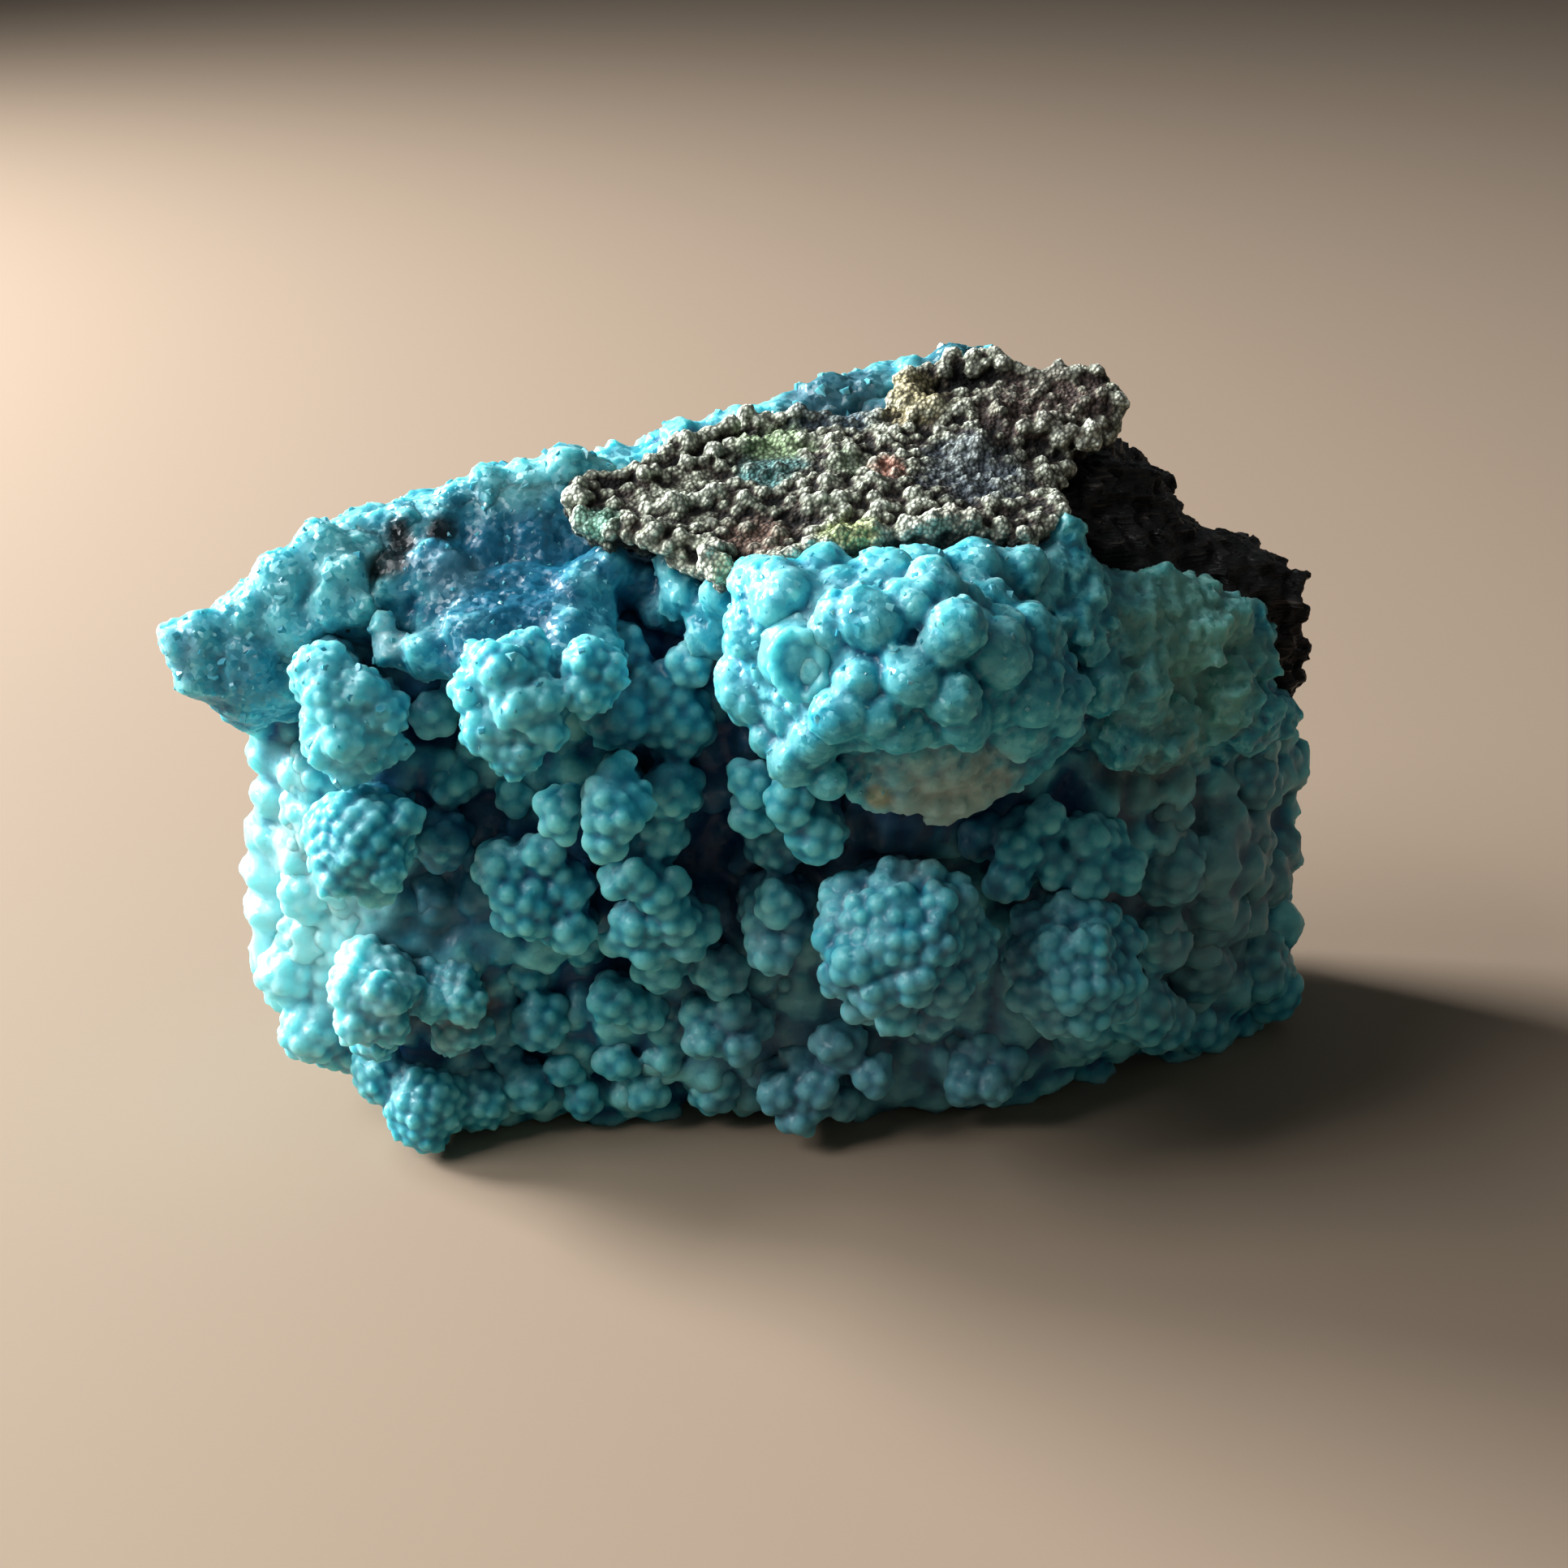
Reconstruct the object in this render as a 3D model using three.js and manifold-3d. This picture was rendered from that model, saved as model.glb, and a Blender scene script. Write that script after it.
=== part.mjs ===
// Gibbsite specimen: a hand-sized piece of sky-blue botryoidal gibbsite on a dark, laminated
// iron-oxide ledge, with a warty limonite crust over the top.
// Millimetres, +Z up. The origin is the middle of the footprint, at the resting plane.
// -Y is the display face, +X is the end where the dark ledge is bare.

import * as THREE from 'three';
import { ConvexGeometry } from 'three/addons/geometries/ConvexGeometry.js';
import { mergeVertices } from 'three/addons/utils/BufferGeometryUtils.js';
import Module from 'manifold-3d';

// Clearance kept between two minerals that touch, measured between their faces.
const JOINT_GAP = 0.3;
// A low icosahedron's faces lie inside its sphere, so a cutter is grown by a little more than the gap.
const CUTTER_GROWTH = 0.5;

// How finely a ball is faceted: a dodecahedron, or an icosahedron split this many times.
const DODECAHEDRON = 'dodecahedron';
const SMALL_KNOB_FACETS = DODECAHEDRON;
const KNOB_FACETS = 1;
const CAULIFLOWER_FACETS = 2;
const KNOB_RADIUS = 2.4;
const CAULIFLOWER_RADIUS = 3.7;
const BODY_FACETS = DODECAHEDRON;
const ROCK_FACETS = 0;
const CRUST_FACETS = DODECAHEDRON;

// The resting plane and the size of the block that trims everything below it.
const RESTING_HEIGHT = 0;
const TRIM_SIZE = 120;

// Every ball below is [x, y, z, radius] in millimetres.

// The solid body behind the knobs: each block is the rounded hull of its balls.
const BODY_BLOCKS = {
  leftBlock: [
    [-20, -4, 1.4, 2], [-8, -2.4, 1.4, 2], [-26.5, -1, 7.5, 2], [-25.8, -1, 19, 2],
    [-22.5, 1, 31.3, 2.2], [-11, 2, 33.2, 2], [-9, -2.8, 18, 2], [-19, -2.4, 18, 2],
    [-20, 8, 1.6, 2.2], [-24, 7.5, 9, 3], [-21, 9, 25, 3], [-8, 13, 4, 3], [-9, 11.5, 29, 3],
  ],
  middleBlock: [
    [-9, -2.4, 1.4, 2], [-9, -2.8, 24, 2], [-4, -3.5, 29.5, 2], [9, -1.6, 1.4, 2], [9, -3, 22, 2.5],
    [12, -1, 30, 2], [-8, 3, 31.8, 2], [-8, 14, 3, 3.3], [11, 14, 3, 3.3], [-6, 9.5, 32.5, 2.5],
    [8, 10.5, 34.5, 2.5], [11, 14.3, 26, 3],
  ],
  rightBlock: [
    [9, -1.6, 1.4, 2], [14, -3.4, 17, 2], [21, -0.6, 13, 2.2], [22, 4.2, 1.4, 2], [29.4, 9, 1.6, 2.3],
    [27, 7.5, 12, 2], [26, 6.5, 18, 2], [12, -0.5, 30, 2], [12, 14, 3, 3.3], [26.5, 13, 4, 3.2],
    [25, 13, 18, 3], [11, 14, 26, 3],
  ],
  flankBlock: [
    [12.5, -3, 30.4, 2], [13, -4, 25, 2.6], [18.5, -1.2, 28.3, 2], [18.5, -1.8, 22.5, 2.6],
    [24.5, 3, 25, 1.8], [25.3, 4, 19.5, 2.2], [15, 8, 27, 3], [23, 9, 22, 3],
  ],
  centreBulge: [
    [-0.3, -8.3, 29, 3], [4.8, -10, 29.8, 4.2], [10.8, -8.3, 28.6, 3.6], [0.8, -7.5, 31, 1.6],
    [7, -8.2, 32, 1.8], [12, -4.5, 31, 1.6], [0, -2, 26.5, 3], [12, -2, 24, 3],
  ],
  noseBlock: [
    [-24.5, -1.5, 27, 3.6], [-28.6, -4, 26.4, 2.6], [-30.7, -4.8, 28.7, 0.9], [-27.5, -2.6, 24.2, 2.1],
    [-23, -1.5, 30.6, 2.3],
  ],
  rearRim: [
    [-4.5, 8.2, 35, 2], [2.5, 11, 36.6, 2], [9.5, 12.2, 38, 2.2], [3, 13.8, 32, 2.6],
    [9, 14.5, 33, 2.4], [-5, 12, 31, 2.6], [-11, 6, 33, 2],
  ],
};

// Growths that stand out of the body, each one a near-spherical knob. The necks behind the largest
// ones carry them out from the wall.
const UPPER_FACE = {
  bulgeTopLeft: [0, -11, 32.8, 2.4], bulgeLeft: [-0.6, -11, 28.4, 2.2], bulgeTop: [5.6, -13, 32.6, 2.6],
  bulgeFront: [4.4, -14.5, 29.8, 3], bulgeRight: [8.6, -13.6, 30.4, 2.8], bulgeEnd: [12, -11, 28, 2.6],
  noseTop: [-27.3, -4.6, 28.4, 2.1], noseEnd: [-29.4, -4.9, 28.2, 1.8], noseUnder: [-27.8, -4.2, 25.2, 2],
  shoulderCrest: [-22.4, -2.4, 31.8, 2.1], ridgeLeft: [-16.6, 0.5, 33.8, 2], ridgeRight: [-12.4, 1.4, 34.5, 2],
  ledgeLeft: [-17.4, -3.4, 30, 2.4], ledgeMiddle: [-13.4, -2.8, 31, 2.6], ledgeInner: [-4.2, -5, 30, 2.4],
  flankTop: [13, -5, 31.2, 2.2], flankUpper: [17, -2.8, 29, 2], flankMiddle: [17.2, -3.8, 25.6, 2.6],
  flankRight: [21, -0.2, 27.6, 2.4], flankLow: [19.6, -2.4, 22.4, 2.3], flankEnd: [22.8, 0.2, 23.4, 2.5],
};
const LEFT_FACE = {
  shoulderHigh: [-21.2, -8, 26, 2.8], shoulderTop: [-22.3, -8, 28.2, 1.8], shoulderNeck: [-20.5, -4.8, 23, 3],
  shoulderLow: [-21, -9.5, 19.9, 3], upperPair: [-12.4, -10.8, 28.2, 2.9], upperNeck: [-11.5, -6, 27.5, 3.2],
  upperSmall: [-8.8, -10, 29, 1.9], recess: [-17.4, -4.6, 17.6, 2.2], edgeUpper: [-25.6, -3, 17.6, 2],
  edgeMiddle: [-26, -2.8, 13, 1.9], edgeLow: [-26.7, -2.8, 8.2, 2.1], lowUpper: [-21.4, -6.8, 9.4, 2.7],
  lowInner: [-17.6, -5.4, 8, 2.6], tip: [-19.4, -6.6, 2, 2.5], tipInner: [-16.6, -5.2, 1.8, 2],
};
const MIDDLE_FACE = {
  hanging: [-12.6, -6.8, 16.4, 3], twin: [-8.2, -11, 22.6, 2.1], twinNeck: [-8.6, -7.6, 22.4, 2.7],
  beyondLeft: [-8.2, -6.6, 25.6, 2.2], beyondRight: [-5.2, -6.2, 24.4, 2.8], beyondLow: [-5.8, -7.2, 20, 2.1],
  middleCluster: [-6.4, -7.2, 15.4, 2.9], middleLow: [-5, -5.6, 11.2, 2.2], slateChip: [-3, -5.8, 17, 1.9],
  tooth: [1, -10.4, 22, 2.2], toothNeck: [0.2, -6.8, 22.4, 2.5], column: [-0.4, -6.6, 14.8, 2.5],
  cauliflower: [5.6, -11, 15.2, 4.6], cauliflowerNeck: [6, -6, 15, 4.2],
};
const LOWER_FACE = {
  rightCauliflower: [14.6, -8.3, 12.3, 3.8], rightNeck: [15, -4, 12.5, 3.6], brow: [12.4, -6, 18, 2.2],
  browRight: [16.4, -5.8, 17.4, 2.2], rightUpper: [20.6, -2.4, 14.8, 2], rightMiddle: [20.2, -2.6, 10.6, 2],
  rightFoot: [19.3, -2.8, 6.6, 2.3], rightEnd: [25, 3, 13.4, 2.3], rightEndMiddle: [23.7, 1.2, 10, 2.2],
  rightEndFoot: [27.2, 5, 4.6, 2.6], rightFlank: [25, 3.2, 17.4, 2], rowLeft: [-12.8, -4.8, 6.4, 2],
  rowMiddle: [-8.6, -5.4, 8.4, 1.9], rowBig: [-3.1, -5.4, 7.1, 2.5], footLeft: [-12.4, -4.8, 2.6, 2],
  footInner: [-7, -4.8, 3.2, 2], footMiddle: [0.9, -5.4, 2.6, 2.6], footTop: [3, -5, 5.8, 2.1],
  footRight: [11, -3.8, 3, 2.5],
};
const REAR_FACE = {
  summit: [9.4, 12.4, 38, 2.2], rimFall: [-11, 10, 31, 2.6], backHighLeft: [-18, 9.5, 28, 3],
  backHigh: [-10, 13, 25, 3.2], backHighRight: [-2, 14.4, 28, 2.9], backLeft: [-23.5, 7.5, 22, 3.2],
  backMiddleLeft: [-17.5, 11, 19, 3.2], backMiddle: [-9, 13.9, 17, 3.6], backLowLeft: [-22.5, 8.5, 11, 3.4],
  backLow: [-14.5, 12.4, 9, 3.4], backLowMiddle: [-4.6, 14, 9.4, 3.4], backLowRight: [4.6, 14.2, 12, 3.2],
  backFootLeft: [-19, 8.5, 4, 3], backFoot: [-9.6, 13.4, 3.4, 2.8], backFootMiddle: [1, 14.6, 3.2, 2.8],
  backFootRight: [10, 14.6, 4.4, 2.8], backEndLow: [18, 14.2, 8, 3.2], backEndFoot: [24, 13.5, 4.5, 3],
  backEnd: [26, 12, 11, 2.8], endMiddle: [27.8, 9, 7, 2.4], endUpper: [26, 9.5, 16, 2.6],
  leftEndHigh: [-25.4, 2.8, 21, 2.6], leftEnd: [-26, 3, 13, 2.8],
};

// The host rock: each block is a broken slab, the rounded hull of its corners.
const EDGE = 0.5;
const ROCK_BLOCKS = {
  underCrust: [
    [13.6, -1.8, 31, EDGE], [13.4, -1.2, 32.8, EDGE], [15, 2.6, 34.4, EDGE], [17.6, 4.8, 35, EDGE],
    [18.8, 4.8, 34.2, EDGE], [21.2, 4.6, 31.4, EDGE], [20, 0.8, 30.4, EDGE], [16, -1.4, 30.2, EDGE],
    [11, 13.5, 35.5, EDGE], [17, 14, 35, EDGE], [21.5, 14.5, 31, EDGE], [12, 15.5, 30, EDGE],
  ],
  lowerLedge: [
    [19.5, 0.8, 30, EDGE], [24, 2.6, 27.2, EDGE], [26.6, 3.8, 24.8, EDGE], [29, 6, 24.2, EDGE],
    [27.6, 5, 28.4, EDGE], [26.8, 5, 29.2, EDGE], [22, 5.2, 31, EDGE], [26, 13.5, 27.6, EDGE],
    [21, 15.5, 29, EDGE], [19, 15.5, 24, EDGE], [27, 12.5, 21, EDGE], [28.2, 6.5, 20.6, EDGE],
    [27.8, 4.6, 20.6, EDGE],
  ],
  rearSlab: [
    [6, 15.4, 33, EDGE], [14, 16.4, 33.2, EDGE], [22, 16, 29, EDGE], [24.5, 15.5, 23, EDGE],
    [20, 16.8, 17, EDGE], [12, 17.05, 18, EDGE], [4, 16.4, 24, EDGE], [8, 11, 31, EDGE],
    [20, 11, 27, EDGE], [18, 12, 19, EDGE], [7, 12, 23, EDGE],
  ],
};

// The crust: a wavy sheet over the top, made of the rounded hulls of its edge points, with a rolled
// lip along the front and a thick corner at the right rear.
const CRUST_BLOCKS = {
  leftTongue: [
    [-10.6, -1.2, 34.6, 0.8], [-10, 0.6, 35, 0.8], [-7, -2.6, 33.9, 0.9], [-4, -4, 34, 0.9],
    [-6.5, 2.2, 35.5, 0.8], [-2, 3, 35.8, 0.8],
  ],
  frontLip: [
    [-5, -4.8, 33.4, 0.9], [-1.6, -6.8, 33, 0.9], [1.4, -6, 34, 0.9], [5, -5.4, 34.3, 0.9],
    [-4, -1, 35, 0.9], [6, 0, 35.8, 0.9],
  ],
  rightLip: [
    [4, -5.4, 34.2, 0.9], [7.6, -4.6, 34.4, 0.9], [11.6, -3.2, 34, 1], [13.2, -1.6, 34, 0.9],
    [13.6, 1.4, 35.2, 0.9], [5, 1, 35.9, 0.9],
  ],
  middleSheet: [
    [-5.5, 4.6, 35.7, 0.8], [-3, -1, 35, 0.9], [-2, 5.8, 36.1, 0.8], [6, 6.4, 37, 0.9],
    [6, 0, 35.8, 0.9], [14, 2, 35.6, 0.9], [14.6, 4.6, 36.4, 0.9],
  ],
  rearCorner: [
    [6.8, 6.4, 37.6, 0.9], [8.6, 8.8, 38.3, 0.9], [13, 8.8, 38.6, 0.9], [16, 7.6, 38.6, 0.9],
    [17.4, 6.2, 38.2, 0.9], [17.2, 5.2, 36.6, 0.9], [9, 2, 36.4, 0.9], [14.6, 4, 36.2, 0.9],
  ],
};

const gibbsiteMaterial = new THREE.MeshStandardMaterial({ color: 0x5fb4c2, roughness: 0.45, metalness: 0 });
const rockMaterial = new THREE.MeshStandardMaterial({ color: 0x2a221d, roughness: 0.85, metalness: 0 });
const crustMaterial = new THREE.MeshStandardMaterial({ color: 0x9a937c, roughness: 0.95, metalness: 0 });

const wasm = await Module();
wasm.setup();

/** One ball as a faceted sphere; growth swells it into a cutter. */
function ballGeometry([x, y, z, radius], facets, growth = 0) {
  const size = radius + growth;
  const ball = facets === DODECAHEDRON
    ? new THREE.DodecahedronGeometry(size)
    : new THREE.IcosahedronGeometry(size, facets);
  return ball.translate(x, y, z);
}

/** The rounded hull of a list of balls. */
function hullGeometry(balls, facets, growth = 0) {
  const corners = [];
  for (const ball of balls) {
    const position = ballGeometry(ball, facets, growth).getAttribute('position');
    for (let index = 0; index < position.count; index += 1) {
      corners.push(new THREE.Vector3().fromBufferAttribute(position, index));
    }
  }
  return new ConvexGeometry(corners);
}

/** How finely a knob of this radius is faceted. */
function knobFacets(radius) {
  if (radius > CAULIFLOWER_RADIUS) return CAULIFLOWER_FACETS;
  return radius > KNOB_RADIUS ? KNOB_FACETS : SMALL_KNOB_FACETS;
}

/** A closed geometry as a solid that can be joined and cut. */
function toSolid(geometry) {
  geometry.deleteAttribute('normal');
  geometry.deleteAttribute('uv');
  const merged = mergeVertices(geometry, 1e-4);
  return new wasm.Manifold(new wasm.Mesh({
    numProp: 3,
    vertProperties: new Float32Array(merged.getAttribute('position').array),
    triVerts: new Uint32Array(merged.getIndex().array),
  }));
}

/** A solid as a flat-shaded geometry. */
function toGeometry(solid) {
  const { vertProperties, triVerts } = solid.getMesh();
  const geometry = new THREE.BufferGeometry();
  geometry.setAttribute('position', new THREE.BufferAttribute(vertProperties, 3));
  geometry.setIndex(new THREE.BufferAttribute(triVerts, 1));
  geometry.computeVertexNormals();
  return geometry;
}

/** Joins a list of solids into one. */
function joined(solids) {
  return solids.reduce((whole, solid) => whole.add(solid));
}

/** All the knobs of one zone as solids; the facets may be left to the size of each knob. */
function knobSolids(zone, growth = 0, facets = null) {
  return Object.values(zone).map((ball) => (
    toSolid(ballGeometry(ball, facets ?? knobFacets(ball[3]), growth))
  ));
}

/** One solid from a set of blocks, swollen by growth where it serves as a cutter. */
function blocksSolid(blocks, facets, growth = 0) {
  return joined(Object.values(blocks).map((balls) => toSolid(hullGeometry(balls, facets, growth))));
}

/** The blue mass before it is trimmed, swollen by growth where it serves as a cutter. */
function growthSolid(growth = 0) {
  const displayZones = [UPPER_FACE, LEFT_FACE, MIDDLE_FACE, LOWER_FACE];
  const displayKnobs = joined(displayZones.flatMap((zone) => knobSolids(zone, growth)));
  const rearKnobs = joined(knobSolids(REAR_FACE, growth, SMALL_KNOB_FACETS));
  return blocksSolid(BODY_BLOCKS, BODY_FACETS, growth).add(displayKnobs).add(rearKnobs);
}

/** The block of space below the resting plane. */
function belowRestingPlane() {
  const box = new THREE.BoxGeometry(TRIM_SIZE, TRIM_SIZE, TRIM_SIZE);
  return toSolid(box.translate(0, 0, RESTING_HEIGHT - TRIM_SIZE / 2));
}

/** A named mesh of one mineral. */
function mineral(name, solid, material) {
  const mesh = new THREE.Mesh(toGeometry(solid), material);
  mesh.name = name;
  return mesh;
}

const hostRock = blocksSolid(ROCK_BLOCKS, ROCK_FACETS);
const rockCutter = blocksSolid(ROCK_BLOCKS, ROCK_FACETS, CUTTER_GROWTH);
const blueMass = growthSolid().subtract(rockCutter).subtract(belowRestingPlane());
const crust = blocksSolid(CRUST_BLOCKS, CRUST_FACETS).subtract(rockCutter).subtract(growthSolid(CUTTER_GROWTH));

const specimen = new THREE.Group();
specimen.add(mineral('gibbsite_mass', blueMass, gibbsiteMaterial));
specimen.add(mineral('host_rock_ledge', hostRock, rockMaterial));
specimen.add(mineral('limonite_crust', crust, crustMaterial));

export default specimen;
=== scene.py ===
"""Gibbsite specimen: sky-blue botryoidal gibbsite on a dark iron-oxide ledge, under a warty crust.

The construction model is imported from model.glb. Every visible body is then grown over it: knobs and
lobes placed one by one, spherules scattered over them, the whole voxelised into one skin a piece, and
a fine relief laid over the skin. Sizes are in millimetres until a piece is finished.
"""
import sys
import logging
import math
import random
from dataclasses import dataclass, field
from enum import Enum
from typing import Iterable, Optional, Sequence, Union

import bmesh
import bpy
from mathutils import Euler, Matrix, Vector


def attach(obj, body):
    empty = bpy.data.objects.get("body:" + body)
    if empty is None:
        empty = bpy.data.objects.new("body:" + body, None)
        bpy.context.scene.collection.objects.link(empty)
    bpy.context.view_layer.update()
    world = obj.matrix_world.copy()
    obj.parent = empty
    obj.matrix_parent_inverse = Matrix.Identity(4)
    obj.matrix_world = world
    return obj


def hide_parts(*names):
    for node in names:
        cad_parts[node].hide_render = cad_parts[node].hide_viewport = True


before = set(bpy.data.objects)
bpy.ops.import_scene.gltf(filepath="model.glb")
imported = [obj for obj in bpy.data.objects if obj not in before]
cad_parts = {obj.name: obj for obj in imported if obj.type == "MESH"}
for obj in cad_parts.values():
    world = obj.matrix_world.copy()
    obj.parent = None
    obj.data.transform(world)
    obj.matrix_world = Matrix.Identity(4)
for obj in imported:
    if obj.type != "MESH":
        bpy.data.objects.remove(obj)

LOG = logging.getLogger("gibbsite")
MM = 0.001
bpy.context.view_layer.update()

# Which way the sheltered underside, the frosted side and the crystal-covered side look, and the
# normal of the rock's beds.
SHELTERED = (0.52, -0.36, -0.77)
EXPOSED = (-0.55, 0.1, 0.83)
DRUSED = (-0.35, -0.45, 0.82)
BEDDING = (0.3, -0.1, 0.95)

# Cosines to those directions, from where a field starts to where it is full.
SHELTER_RANGE = (-0.5, 0.5)
FROST_RANGE = (0.1, 0.75)

# Knobs from this radius up are carried on stems, whose sizes are shares of the knob's radius.
STEMMED_RADIUS = 1.25
STEM_THICKNESS = 0.78
STEM_START = 0.5
STEM_FALL = 0.2
STEM_STEP = 0.7

# The mean surface: how far it bridges gaps, its mesh size and its passes of smoothing.
CLOSING = 1.8
MEAN_VOXEL = 0.8
MEAN_PASSES = 10

# How far each pass of smoothing moves a point.
SOFTENING = 0.5

# Balls over this radius get one more subdivision.
LARGE_BALL = 2.5

MIDDLE = (0.5, 0.5, 0.5)
ANY_TURN = (6.28, 6.28, 6.28)
DENSEST = 60.0
DENSEST_CRYSTALS = 4e7
PRISM = {"Vertices": 6, "Side Segments": 1, "Fill Segments": 1}

# The rock's beds: how they wave, how far the noise moves on from bed to bed, how they tear, and how
# much less they move up than out.
BED_WAVE_PITCH = 0.25
BED_WAVE = 2.2
BED_SHIFT = 7.3
BED_TEAR_PITCH = 0.55
BED_FLATNESS = (1.0, 1.0, 0.25)

# The frost: passes that soften the skin's normal, and the pitch and threshold of its patches.
NORMAL_PASSES = 8
FROST_PITCH = 0.45
FROST_PATCH = (0.36, 0.56)
# Where, past the closing distance below the mean surface, the painted shade of hollows starts.
HOLLOW_SHADE_START = 0.1
GRAIN_MIDDLE = 0.45

# The colour patches' ragged edge, and where a patch starts and is full as shares of its reach. Some patches
# are real discolourations, some painted light and some painted shade.
RAGGED_PITCH = 0.7
PATCH_START = 1.5
PATCH_FULL = 0.9

# Seeds of the scatters.
CHOICE_SEED = 77
STRETCH_SEED = 5
TURN_SEED = 9
BAND_SEED = 7
FIRST_SEED = 3
CRUST_SEED = 41
ROCK_SEED = 42

Ball = tuple[float, float, float, float]
Balls = dict[str, Ball]
Setting = Union[bool, int, float, str, Sequence[float]]
Source = Union[bpy.types.Node, tuple, float]


def linear(hex_colour: str) -> tuple[float, float, float, float]:
    """Turn an sRGB hex colour into linear RGBA.

    Args:
        hex_colour: Six hex digits with a leading hash.

    Returns:
        The linear colour with full alpha.
    """
    channels = [int(hex_colour[start:start + 2], 16) / 255 for start in (1, 3, 5)]
    curve = [c / 12.92 if c <= 0.04045 else ((c + 0.055) / 1.055) ** 2.4 for c in channels]
    return (*curve, 1.0)


def socket_of(sockets: Sequence[bpy.types.NodeSocket], key: Union[int, str]) -> bpy.types.NodeSocket:
    """Find a socket by its place or by its name among the enabled ones.

    Args:
        sockets: A node's inputs or outputs.
        key: An index, or a socket's name.

    Returns:
        The socket.
    """
    if isinstance(key, int):
        return sockets[key]
    return next(s for s in sockets if s.name == key and s.enabled)


def add_node(tree: bpy.types.NodeTree, kind: str, links: Optional[dict] = None,
             **settings: Setting) -> bpy.types.Node:
    """Add a node with its settings and its links or values.

    Args:
        tree: The tree to add to.
        kind: The node's type name.
        links: Input key to a value, a node (its first enabled output), or a (node, output key) pair.
        settings: The node's own properties.

    Returns:
        The new node.
    """
    node = tree.nodes.new(kind)
    for name, value in settings.items():
        setattr(node, name, value)
    for key, source in (links or {}).items():
        target = socket_of(node.inputs, key)
        if isinstance(source, bpy.types.Node):
            tree.links.new(next(o for o in source.outputs if o.enabled), target)
        elif isinstance(source, tuple) and source and isinstance(source[0], bpy.types.Node):
            tree.links.new(socket_of(source[0].outputs, source[1]), target)
        else:
            target.default_value = source
    return node


def new_tree(name: str, inputs: dict[str, Setting]) -> tuple:
    """Start a Geometry Nodes tree with named inputs.

    Args:
        name: The tree's name.
        inputs: Input name to default value; an int makes an integer socket, a float a float one.

    Returns:
        The tree and its Group Input node.
    """
    tree = bpy.data.node_groups.new(name, "GeometryNodeTree")
    tree.interface.new_socket("Geometry", in_out="INPUT", socket_type="NodeSocketGeometry")
    for label, value in inputs.items():
        kind = "NodeSocketInt" if isinstance(value, int) else "NodeSocketFloat"
        tree.interface.new_socket(label, in_out="INPUT", socket_type=kind).default_value = value
    tree.interface.new_socket("Geometry", in_out="OUTPUT", socket_type="NodeSocketGeometry")
    return tree, add_node(tree, "NodeGroupInput")


def finish_tree(tree: bpy.types.NodeTree, geometry: bpy.types.Node,
                material: Optional[bpy.types.Material]) -> None:
    """End a tree in Realize Instances and Set Material.

    Args:
        tree: The tree.
        geometry: The node that gives the geometry.
        material: The finish to set, if any.
    """
    real = add_node(tree, "GeometryNodeRealizeInstances", {"Geometry": geometry})
    dressed = add_node(tree, "GeometryNodeSetMaterial", {"Geometry": real, "Material": material})
    add_node(tree, "NodeGroupOutput", {"Geometry": dressed})


def growth_field(tree: bpy.types.NodeTree, normal: Source, direction: Sequence[float], low: float,
                 high: float) -> bpy.types.Node:
    """Say how far a face looks in a direction.

    Args:
        tree: The tree to add to.
        normal: The node, or (node, output) pair, that gives the normal.
        direction: The direction, of unit length.
        low: Where the field starts, as a cosine.
        high: Where it is full.

    Returns:
        The node that gives the field, from 0 to 1.
    """
    facing = add_node(tree, "ShaderNodeVectorMath", {0: normal, 1: tuple(direction)}, operation="DOT_PRODUCT")
    return add_node(tree, "ShaderNodeMapRange", {
        "Value": (facing, "Value"), "From Min": low, "From Max": high,
    }, interpolation_type="SMOOTHSTEP")


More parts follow.
